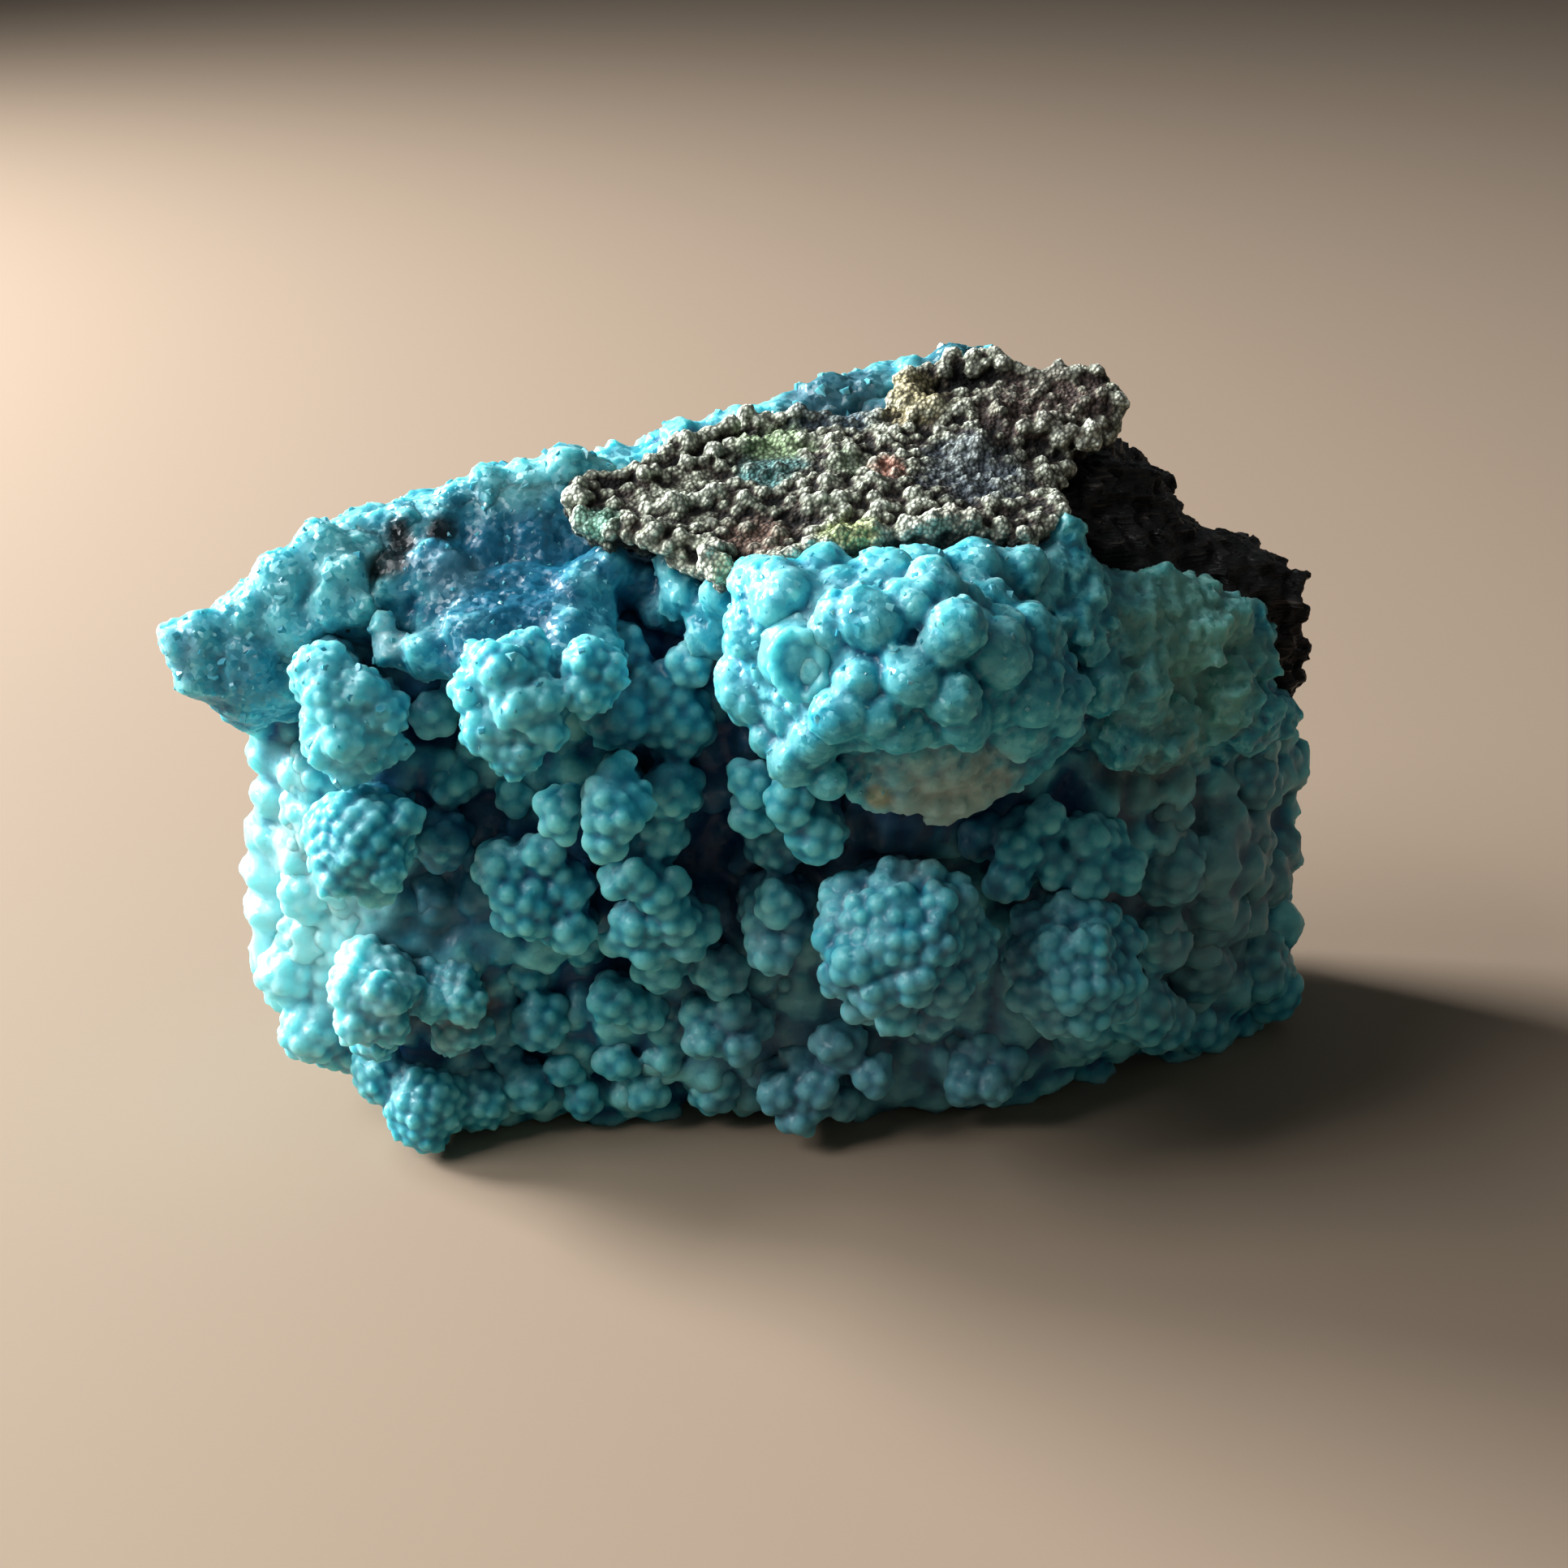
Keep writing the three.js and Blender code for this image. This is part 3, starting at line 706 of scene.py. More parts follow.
@dataclass(frozen=True)
class GibbsiteFinish:
    """Waxy, slightly translucent gibbsite, frosted with fine crystals on its exposed side.

    Light goes a little way in. Creases are painted a deeper teal as painted shade and crests paler as
    painted light. Pairs of numbers are a gain with how crystalline the skin is, and the value where it isn't.

    Attributes:
        crystals: How many crystal facets there are to a metre; clouds and specks count the same way.
        crystalline: How far frost counts as crystals.
        facet_glint_spread: How much the lightness changes at random from facet to facet, partly the crystals'
            own tone and partly a painted glint of facets catching the light.
        cloudiness: How much the shade drifts from place to place.
        frosted: How far frost whitens the skin.
        painted_hollow_shade: How far hollows are darkened, a painted shade.
        rarity: Share of the places that have no speck.
        speck_size: A speck's radius, as a share of the distance between two.
        steepness: How steeply facets tilt.
        coat: How much they shine.
        sinking: How much light goes in, and how far, in metres; scatter says how far by colour.
    """

    name: str = "gibbsite frosted spherules"
    # shaded_crease is painted shade in creases, crest is painted light on crests, hollow is painted shade in
    # hollows.
    shaded_crease: str = "#02618c"
    body: str = "#32a5b8"
    crest: str = "#80dcde"
    hollow: str = "#01386a"
    frosting: str = "#a0e8f2"
    speck: str = "#1a1c1c"
    roughness: float = 0.45
    ior: float = 1.57
    specular: float = 0.3
    crystals: float = 3400.0
    crystalline: float = 0.5
    facet_glint_spread: tuple[float, float] = (0.2, 0.08)
    clouds: float = 260.0
    cloudiness: float = 0.7
    frosted: float = 0.5
    painted_hollow_shade: float = 0.9
    specks: float = 420.0
    rarity: float = 0.9
    speck_size: float = 0.055
    steepness: tuple[float, float] = (0.9, 0.15)
    coat: tuple[float, float] = (0.22, 0.04)
    coat_roughness: float = 0.2
    sinking: tuple[float, float] = (0.75, 0.002)
    scatter: tuple[float, float, float] = (0.35, 1.0, 1.0)
    stains_and_painted_light: tuple[Stain, ...] = (
        # Painted shade: the next four patches darken the back and the left end, which the back-left lamp
        # lights strongly.
        Stain((-16, 36, 16), 38.0, "#155064", 0.9),
        Stain((16, 36, 16), 38.0, "#1c5560", 0.9),
        Stain((-34, 15, 14), 22.0, "#1f6375", 0.85),
        Stain((-22, 12, 27), 12.0, "#1d6274", 0.8),
        Stain((-8, 17, 12), 7.0, "#4b5650", 0.6),
        Stain((20, 15, 8), 7.0, "#3c4744", 0.6),
        Stain((20, -1, 27), 8.0, "#7cb8a6", 0.75),
        Stain((25, 0, 12), 11.0, "#6f858a", 0.65),
        Stain((7.5, -12, 23.5), 5.0, "#a3b5a8", 0.8),
        Stain((4.4, -13.6, 24.3), 0.8, "#a3a277", 0.65),
        Stain((19, -3, 20.7), 4.0, "#66756d", 0.6),
        # Painted shade: the next two patches darken the recess at the lower left.
        Stain((-15.5, -4, 15), 6.5, "#2a6c8e", 0.5),
        Stain((-15, -4, 6), 5.0, "#2a6c8e", 0.4),
        Stain((3, 9.2, 37), 5.0, "#2f5666", 0.85),
        Stain((10, 11.5, 38.5), 3.4, "#245666", 0.8),
        # Painted light: the next three patches make the lit left side and the left knobs paler.
        Stain((-27, -6, 13), 10.5, "#b0f2f4", 0.75),
        Stain((-22, -8, 26), 5.0, "#8ce6ec", 0.6),
        Stain((-13, -12, 28), 3.4, "#8ae6ec", 0.45),
        # Painted shade: the next two patches make the lower front darker and greyer, and the recess at the
        # left darker.
        Stain((6, -8, 7), 16.0, "#5c7f92", 0.6),
        Stain((-18, -4.5, 15), 5.0, "#1d5f82", 0.65),
        # Painted shade: the slope below the ridge is darkened.
        Stain((-13.4, -3.4, 31.4), 7.4, "#046080", 0.94),
        # Painted light: the next three patches make the lit nose and ridge paler.
        Stain((-25, -3.5, 30), 5.0, "#7fdbe4", 0.5),
        Stain((-21.5, -3.6, 32.2), 3.0, "#98e8ec", 0.6),
        Stain((-13.5, 1, 36), 3.6, "#94e4e8", 0.6),
        Stain((-30.5, -5, 28.5), 2.4, "#9ad4e0", 0.6),
        Stain((-26.4, -6, 27.5), 2.6, "#187c98", 0.75),
        # Painted shade: the next three patches paint near-black slits on the ridge.
        Stain((-18.9, -1.8, 32.9), 1.7, "#070d12", 0.98),
        Stain((-17.3, -1.6, 33.1), 1.5, "#080e13", 0.97),
        Stain((-19.6, -3.2, 32.2), 1.4, "#0c151b", 0.95),
        Stain((-16.4, -3.9, 31.8), 2.0, "#6fa4b4", 0.5),
        Stain((-19.3, -6.4, 29.4), 1.3, "#a9d6dc", 0.7),
        Stain((-17.3, -5.6, 7.8), 2.8, "#8f897c", 0.55),
        Stain((-19.5, -4, 11.5), 3.4, "#2f7488", 0.6),
    )

    def build(self) -> bpy.types.Material:
        """Build the finish.

        Returns:
            The material.
        """
        material, tree, spot = new_material(self.name)
        crest = add_node(tree, "ShaderNodeAttribute", attribute_name="crest")
        frost = add_node(tree, "ShaderNodeAttribute", attribute_name="frost")
        sugar = add_node(tree, "ShaderNodeAttribute", attribute_name="sugar")
        crystalline = add_node(tree, "ShaderNodeMath", {
            0: (frost, "Fac"), 1: self.crystalline, 2: (sugar, "Fac"),
        }, operation="MULTIPLY_ADD", use_clamp=True)
        cells = add_node(tree, "ShaderNodeTexVoronoi", {"Vector": spot, "Scale": self.crystals}, feature="F1")
        # Partly painted glints: each crystal facet gets its own random lightness, standing in for facets that
        # catch the light.
        shades = add_node(tree, "ShaderNodeSeparateColor", {0: (cells, "Color")})
        spread = add_node(tree, "ShaderNodeMath", {
            0: crystalline, 1: self.facet_glint_spread[0], 2: self.facet_glint_spread[1],
        }, operation="MULTIPLY_ADD")
        centred = add_node(tree, "ShaderNodeMath", {0: (shades, "Red"), 1: 0.5}, operation="SUBTRACT")
        glint_shade = add_node(tree, "ShaderNodeMath", {0: centred, 1: spread}, operation="MULTIPLY")
        cloud = add_node(tree, "ShaderNodeTexNoise", {"Vector": spot, "Scale": self.clouds, "Detail": 3.0})
        blend = add_node(tree, "ShaderNodeMath", {
            0: (cloud, "Fac"), 1: self.cloudiness, 2: -self.cloudiness / 2,
        }, operation="MULTIPLY_ADD")
        blended = add_node(tree, "ShaderNodeMath", {0: glint_shade, 1: blend}, operation="ADD")
        # Painted shade and painted light: the crest field runs the ramp from the dark shaded_crease colour in
        # creases to the pale crest colour on crests.
        tone = add_node(tree, "ShaderNodeMath", {0: (crest, "Fac"), 1: blended}, operation="ADD",
                        use_clamp=True)
        ramp = ramp_node(tree, tone, ((0.05, self.shaded_crease), (0.5, self.body), (0.95, self.crest)))
        white = add_node(tree, "ShaderNodeMath", {0: (frost, "Fac"), 1: self.frosted}, operation="MULTIPLY")
        frosted = add_node(tree, "ShaderNodeMix", {
            "Factor": white, "A": (ramp, "Color"), "B": linear(self.frosting),
        }, data_type="RGBA")
        # Painted shade: hollows below the mean surface turn toward the dark hollow colour.
        hollow = add_node(tree, "ShaderNodeAttribute", attribute_name="hollow")
        shade = add_node(tree, "ShaderNodeMath", {0: (hollow, "Fac"), 1: self.painted_hollow_shade},
                         operation="MULTIPLY")
        shaded = add_node(tree, "ShaderNodeMix", {
            "Factor": shade, "A": (frosted, "Result"), "B": linear(self.hollow),
        }, data_type="RGBA")
        specks = add_node(tree, "ShaderNodeTexVoronoi", {"Vector": spot, "Scale": self.specks}, feature="F1")
        rarity = add_node(tree, "ShaderNodeSeparateColor", {0: (specks, "Color")})
        rare = add_node(tree, "ShaderNodeMath", {0: (rarity, "Red"), 1: self.rarity},
                        operation="GREATER_THAN")
        near = add_node(tree, "ShaderNodeMath", {0: (specks, "Distance"), 1: self.speck_size},
                        operation="LESS_THAN")
        speck = add_node(tree, "ShaderNodeMath", {0: rare, 1: near}, operation="MULTIPLY")
        spotted = add_node(tree, "ShaderNodeMix", {
            "Factor": speck, "A": (shaded, "Result"), "B": linear(self.speck),
        }, data_type="RGBA")
        colour = colour_patched(tree, (spotted, "Result"))

        tilt = add_node(tree, "ShaderNodeVectorMath", {0: (cells, "Color"), 1: MIDDLE},
                        operation="SUBTRACT")
        local = add_node(tree, "ShaderNodeVectorMath", {0: spot, 1: (cells, "Position")},
                         operation="SUBTRACT")
        plane = add_node(tree, "ShaderNodeVectorMath", {0: local, 1: tilt}, operation="DOT_PRODUCT")
        steep = add_node(tree, "ShaderNodeMath", {
            0: crystalline, 1: self.steepness[0], 2: self.steepness[1],
        }, operation="MULTIPLY_ADD")
        facet = add_node(tree, "ShaderNodeMath", {0: (plane, "Value"), 1: steep}, operation="MULTIPLY")
        bump = add_node(tree, "ShaderNodeBump", {"Height": facet, "Strength": 1.0, "Distance": 1.0})
        shine = add_node(tree, "ShaderNodeMath", {
            0: crystalline, 1: self.coat[0], 2: self.coat[1],
        }, operation="MULTIPLY_ADD")
        shader = add_node(tree, "ShaderNodeBsdfPrincipled", {
            "Base Color": colour, "Roughness": self.roughness, "IOR": self.ior, "Normal": bump,
            "Specular IOR Level": self.specular, "Subsurface Weight": self.sinking[0],
            "Subsurface Scale": self.sinking[1], "Subsurface Radius": self.scatter,
            "Coat Weight": shine, "Coat Roughness": self.coat_roughness, "Coat Normal": bump,
        })
        add_node(tree, "ShaderNodeOutputMaterial", {"Surface": shader})
        return material


@dataclass(frozen=True)
class CrystalFinish:
    """Clear, glassy gibbsite crystals: they give the druse its sugary sparkle.

    Attributes:
        clouds: How many clouds of deeper blue there are to a metre.
        painted_hollow_shade: How far hollows darken the crystals, a painted shade.
        sinking: How much light goes in, and how far, in metres; scatter says how far by colour.
    """

    name: str = "clear gibbsite crystals"
    deep: str = "#3f9fb6"
    pale: str = "#84d2dc"
    hollow: str = "#0b4b64"
    clouds: float = 700.0
    painted_hollow_shade: float = 0.9
    roughness: float = 0.24
    ior: float = 1.45
    sinking: tuple[float, float] = (0.4, 0.0005)
    scatter: tuple[float, float, float] = (0.4, 1.0, 1.0)

    def build(self) -> bpy.types.Material:
        """Build the finish.

        Returns:
            The material.
        """
        material, tree, spot = new_material(self.name)
        cloud = add_node(tree, "ShaderNodeTexNoise", {"Vector": spot, "Scale": self.clouds, "Detail": 2.0})
        ramp = ramp_node(tree, (cloud, "Fac"), ((0.38, self.deep), (0.64, self.pale)))
        # Painted shade: hollows below the mean surface turn toward the dark hollow colour.
        hollow = add_node(tree, "ShaderNodeAttribute", attribute_name="hollow")
        shade = add_node(tree, "ShaderNodeMath", {0: (hollow, "Fac"), 1: self.painted_hollow_shade},
                         operation="MULTIPLY")
        shaded = add_node(tree, "ShaderNodeMix", {
            "Factor": shade, "A": (ramp, "Color"), "B": linear(self.hollow),
        }, data_type="RGBA")
        shader = add_node(tree, "ShaderNodeBsdfPrincipled", {
            "Base Color": (shaded, "Result"), "Roughness": self.roughness, "IOR": self.ior,
            "Subsurface Weight": self.sinking[0], "Subsurface Scale": self.sinking[1],
            "Subsurface Radius": self.scatter,
        })
        add_node(tree, "ShaderNodeOutputMaterial", {"Surface": shader})
        return material


@dataclass(frozen=True)
class RockFinish:
    """Dull, laminated iron-oxide rock, nearly black with rust in its layers.

    Attributes:
        dip_deg: How far its layers dip.
        lamination: How much thinner the layers are than they are long.
        clouds: How many of them there are to a metre, before that.
        relief: How far they stand out, in metres.
    """

    name: str = "laminated iron oxide rock"
    dark: str = "#060607"
    brown: str = "#1a1614"
    dust: str = "#6a625a"
    roughness: float = 0.48
    dip_deg: float = 17
    lamination: float = 12.0
    clouds: float = 330.0
    relief: float = 0.0011

    def build(self) -> bpy.types.Material:
        """Build the finish.

        Returns:
            The material.
        """
        material, tree, spot = new_material(self.name)
        flat = add_node(tree, "ShaderNodeMapping", {
            "Vector": spot, "Rotation": (0.0, math.radians(self.dip_deg), 0.0),
            "Scale": (1.0, 1.0, self.lamination),
        })
        cloud = add_node(tree, "ShaderNodeTexNoise", {"Vector": flat, "Scale": self.clouds, "Detail": 6.0})
        ramp = ramp_node(tree, (cloud, "Fac"), ((0.4, self.dark), (0.6, self.brown), (0.76, self.dust)))
        bump = add_node(tree, "ShaderNodeBump", {
            "Height": (cloud, "Fac"), "Strength": 1.0, "Distance": self.relief,
        })
        shader = add_node(tree, "ShaderNodeBsdfPrincipled", {
            "Base Color": ramp, "Roughness": self.roughness, "Normal": bump,
        })
        add_node(tree, "ShaderNodeOutputMaterial", {"Surface": shader})
        return material


@dataclass(frozen=True)
class CrustFinish:
    """Dry, earthy limonite granules, beige and grey-green with pinkish-brown patches.

    Attributes:
        granules: How many fine granules there are to a metre; clouds count the same way.
        cloudiness: How much the shade drifts from place to place.
        painted_hollow_shade: What is left of the colour in hollows, a painted shade.
        seam_shade: The colour's strength on a granule and between two; darker between granules as painted
            shade.
        relief: How deep the seams between granules are, in metres.
    """

    name: str = "earthy limonite granules"
    # shaded_crease is painted shade in the valleys between granules and bands; pale is partly painted light
    # on their tops.
    shaded_crease: str = "#0b0908"
    brown: str = "#42372e"
    beige: str = "#abb09b"
    pale: str = "#edf3df"
    roughness: float = 0.92
    granules: float = 4200.0
    clouds: float = 330.0
    cloudiness: float = 0.9
    painted_hollow_shade: float = 0.12
    seam_shade: tuple[float, float] = (1.1, 0.3)
    relief: float = 0.00016
    stains_and_painted_light: tuple[Stain, ...] = (
        Stain((-0.7, 0.9, 35.4), 2.4, "#5c9390", 0.85),
        Stain((-0.4, 3.6, 36.6), 2.4, "#b9d8a4", 0.8),
        Stain((3.2, 0.8, 36), 1.3, "#b9cdad", 0.6),
        Stain((5.2, 0.3, 36), 1.4, "#cf9480", 0.85),
        Stain((-1.5, -5.5, 34.6), 2.4, "#86695a", 0.6),
        Stain((9.4, 0.3, 36), 3.6, "#707f8a", 0.7),
        Stain((-9.1, -3.8, 34.9), 1.7, "#9fdcc3", 0.9),
        Stain((3.2, -5.8, 34.8), 2.1, "#c3d48e", 0.85),
        Stain((-2.4, -8.4, 33.8), 1.5, "#b5cda6", 0.8),
        Stain((6.8, 6, 38.4), 2.4, "#d8ca9a", 0.85),
        Stain((13.5, 5.5, 38), 4.4, "#6a5750", 0.6),
        Stain((8.5, -4.8, 35), 1.8, "#d2cdb9", 0.6),
        Stain((3, 7.5, 37), 3.6, "#4c6877", 0.8),
    )

    def build(self) -> bpy.types.Material:
        """Build the finish.

        Returns:
            The material.
        """
        material, tree, spot = new_material(self.name)
        crest = add_node(tree, "ShaderNodeAttribute", attribute_name="crest")
        patch = add_node(tree, "ShaderNodeTexNoise", {"Vector": spot, "Scale": self.clouds, "Detail": 3.0})
        blend = add_node(tree, "ShaderNodeMath", {
            0: (patch, "Fac"), 1: self.cloudiness, 2: -self.cloudiness / 2,
        }, operation="MULTIPLY_ADD")
        # Painted shade and painted light: the crest field, with random clouds, runs the ramp from the dark
        # shaded_crease colour in valleys to the pale colour on tops.
        tone = add_node(tree, "ShaderNodeMath", {0: (crest, "Fac"), 1: blend}, operation="ADD",
                        use_clamp=True)
        ramp = ramp_node(tree, tone, (
            (0.24, self.shaded_crease), (0.4, self.brown), (0.6, self.beige), (0.9, self.pale),
        ))
        colour = colour_patched(tree, (ramp, "Color"))
        # Painted shade: hollows below the mean surface keep less of their colour.
        hollow = add_node(tree, "ShaderNodeAttribute", attribute_name="hollow")
        shade = add_node(tree, "ShaderNodeMapRange", {
            "Value": (hollow, "Fac"), "From Min": 0.25, "From Max": 0.75, "To Min": 1.0,
            "To Max": self.painted_hollow_shade,
        })
        # Painted shade: the lines between granules are darker.
        granules = add_node(tree, "ShaderNodeTexVoronoi", {"Vector": spot, "Scale": self.granules},
                            feature="F1")
        seam_shade_factor = add_node(tree, "ShaderNodeMapRange", {
            "Value": (granules, "Distance"), "From Min": 0.3, "From Max": 0.65,
            "To Min": self.seam_shade[0], "To Max": self.seam_shade[1],
        })
        depth = add_node(tree, "ShaderNodeMath", {0: shade, 1: seam_shade_factor}, operation="MULTIPLY")
        darkened = add_node(tree, "ShaderNodeVectorMath", {0: colour, "Scale": depth}, operation="SCALE")
        height = add_node(tree, "ShaderNodeMath", {0: (granules, "Distance"), 1: -self.relief},
                          operation="MULTIPLY")
        bump = add_node(tree, "ShaderNodeBump", {"Height": height, "Strength": 1.0, "Distance": 1.0})
        shader = add_node(tree, "ShaderNodeBsdfPrincipled", {
            "Base Color": darkened, "Roughness": self.roughness, "Normal": bump,
        })
        add_node(tree, "ShaderNodeOutputMaterial", {"Surface": shader})
        return material


def ball_mesh(balls: Iterable[Ball], hull: bool = False, thicker: float = 0.0) -> bpy.types.Mesh:
    """Make a mesh of balls, or the rounded hull of them.

    Args:
        balls: Centres and radii in millimetres.
        hull: Whether to wrap them in one convex skin.
        thicker: What to add to every radius.

    Returns:
        The mesh, one unit a millimetre.
    """
    form = bmesh.new()
    for x, y, z, radius in balls:
        fineness = 2 if hull or thicker else 4 if radius > LARGE_BALL else 3
        bmesh.ops.create_icosphere(form, subdivisions=fineness, radius=radius + thicker,
                                   matrix=Matrix.Translation((x, y, z)))
    if hull:
        wrapped = bmesh.ops.convex_hull(form, input=form.verts)
        loose = [item for item in wrapped["geom_interior"] if isinstance(item, bmesh.types.BMVert)]
        bmesh.ops.delete(form, geom=loose, context="VERTS")
        buried = [f for f in form.faces if f not in set(wrapped["geom"])]
        bmesh.ops.delete(form, geom=buried, context="FACES_ONLY")
    mesh = bpy.data.meshes.new("seed")
    form.to_mesh(mesh)
    form.free()
    return mesh


def joined_mesh(meshes: Sequence[bpy.types.Mesh]) -> bpy.types.Mesh:
    """Put several meshes in one.

    Args:
        meshes: The meshes; they are used up.

    Returns:
        One mesh.
    """
    form = bmesh.new()
    for mesh in meshes:
        form.from_mesh(mesh)
        bpy.data.meshes.remove(mesh)
    whole = bpy.data.meshes.new("seed")
    form.to_mesh(whole)
    form.free()
    return whole


def stems(balls: Iterable[Ball], wall: float) -> list[Ball]:
    """Carry every large knob back to the wall on a stem.

    Args:
        balls: The knobs.
        wall: How far back the wall stands.

    Returns:
        The balls that make up the stems.
    """
    chain = []
    for x, y, z, radius in balls:
        if radius < STEMMED_RADIUS:
            continue
        thickness = radius * STEM_THICKNESS
        behind = y + radius * STEM_START
        while behind < wall:
            chain.append((x, behind, max(z - STEM_FALL * (behind - y), thickness), thickness))
            behind += thickness * STEM_STEP
    return chain


@dataclass(frozen=True)
class Band:
    """A wavy row of clumps, in millimetres.

    Attributes:
        line: Points that the row runs through.
        radius: Mean radius of its clumps.
        spacing: Mean distance between two clumps.
        jitter: How far a clump may stand off the line.
    """

    line: tuple[tuple[float, float, float], ...]
    radius: float
    spacing: float = 0.8
    jitter: float = 0.3

    def clumps(self) -> list[Ball]:
        """Place the clumps along the line.

        Returns:
            One ball a clump.
        """
        dice = random.Random(round(self.line[0][0] * 10) + BAND_SEED)
        row = []
        for start, end in zip(self.line, self.line[1:]):
            here, there = Vector(start), Vector(end)
            count = max(1, round((there - here).length / self.spacing))
            for step in range(count):
                spot = here.lerp(there, (step + dice.uniform(-0.2, 0.2)) / count)
                spot += Vector((0, dice.uniform(-0.8, 0.8), dice.uniform(0.0, 1.0))) * self.jitter
                row.append((*spot, self.radius * dice.uniform(0.8, 1.3)))
        return row


def oval(centre: Sequence[float], across: Sequence[float], up: Sequence[float]) -> tuple:
    """Draw a closed oval line.

    Args:
        centre: Its centre.
        across: Half its width, as a direction.
        up: Half its height, as a direction.

    Returns:
        The points of the line, the first one again at the end.
    """
    angles = [math.tau * step / 12 for step in range(13)]
    return tuple(
        tuple(c + math.cos(a) * w + math.sin(a) * h for c, w, h in zip(centre, across, up)) for a in angles
    )


@dataclass(frozen=True)
class Growth:
    """One piece of the mass.

    Attributes:
        name: Its name.
        habit: How its skin has grown.
        blocks: Rounded hulls, each by its corner balls.
        balls: Single knobs, lobes and spherules.
        wall: Where stems reach back to; None leaves the knobs without stems.
        bands: Wavy rows of clumps.
    """

    name: str
    habit: Habit
    blocks: dict[str, Sequence[Ball]] = field(default_factory=dict)
    balls: Balls = field(default_factory=dict)
    wall: Optional[float] = None
    bands: dict[str, Band] = field(default_factory=dict)

    def seed_mesh(self, thicker: float = 0.0) -> bpy.types.Mesh:
        """Put the piece's blocks, balls and stems in one mesh.

        Args:
            thicker: What to add to every radius.

        Returns:
            The mesh in millimetres.
        """
        parts = [ball_mesh(corners, True, thicker) for corners in self.blocks.values()]
        if self.balls:
            parts.append(ball_mesh(self.balls.values(), False, thicker))
        if self.wall is not None and not thicker:
            parts.append(ball_mesh(stems(self.balls.values(), self.wall)))
        parts.extend(ball_mesh(band.clumps(), False, thicker) for band in self.bands.values())
        return joined_mesh(parts)


@dataclass(frozen=True)
class Druse:
    """A dusting of separate crystals, in millimetres.

    Attributes:
        spacing: Least distance between two crystals.
        smallest: Smallest radius.
        largest: Largest radius.
        facing: How far the ground must look up and out to be dusted, as a cosine.
    """

    spacing: float
    smallest: float
    largest: float
    facing: float = 0.0


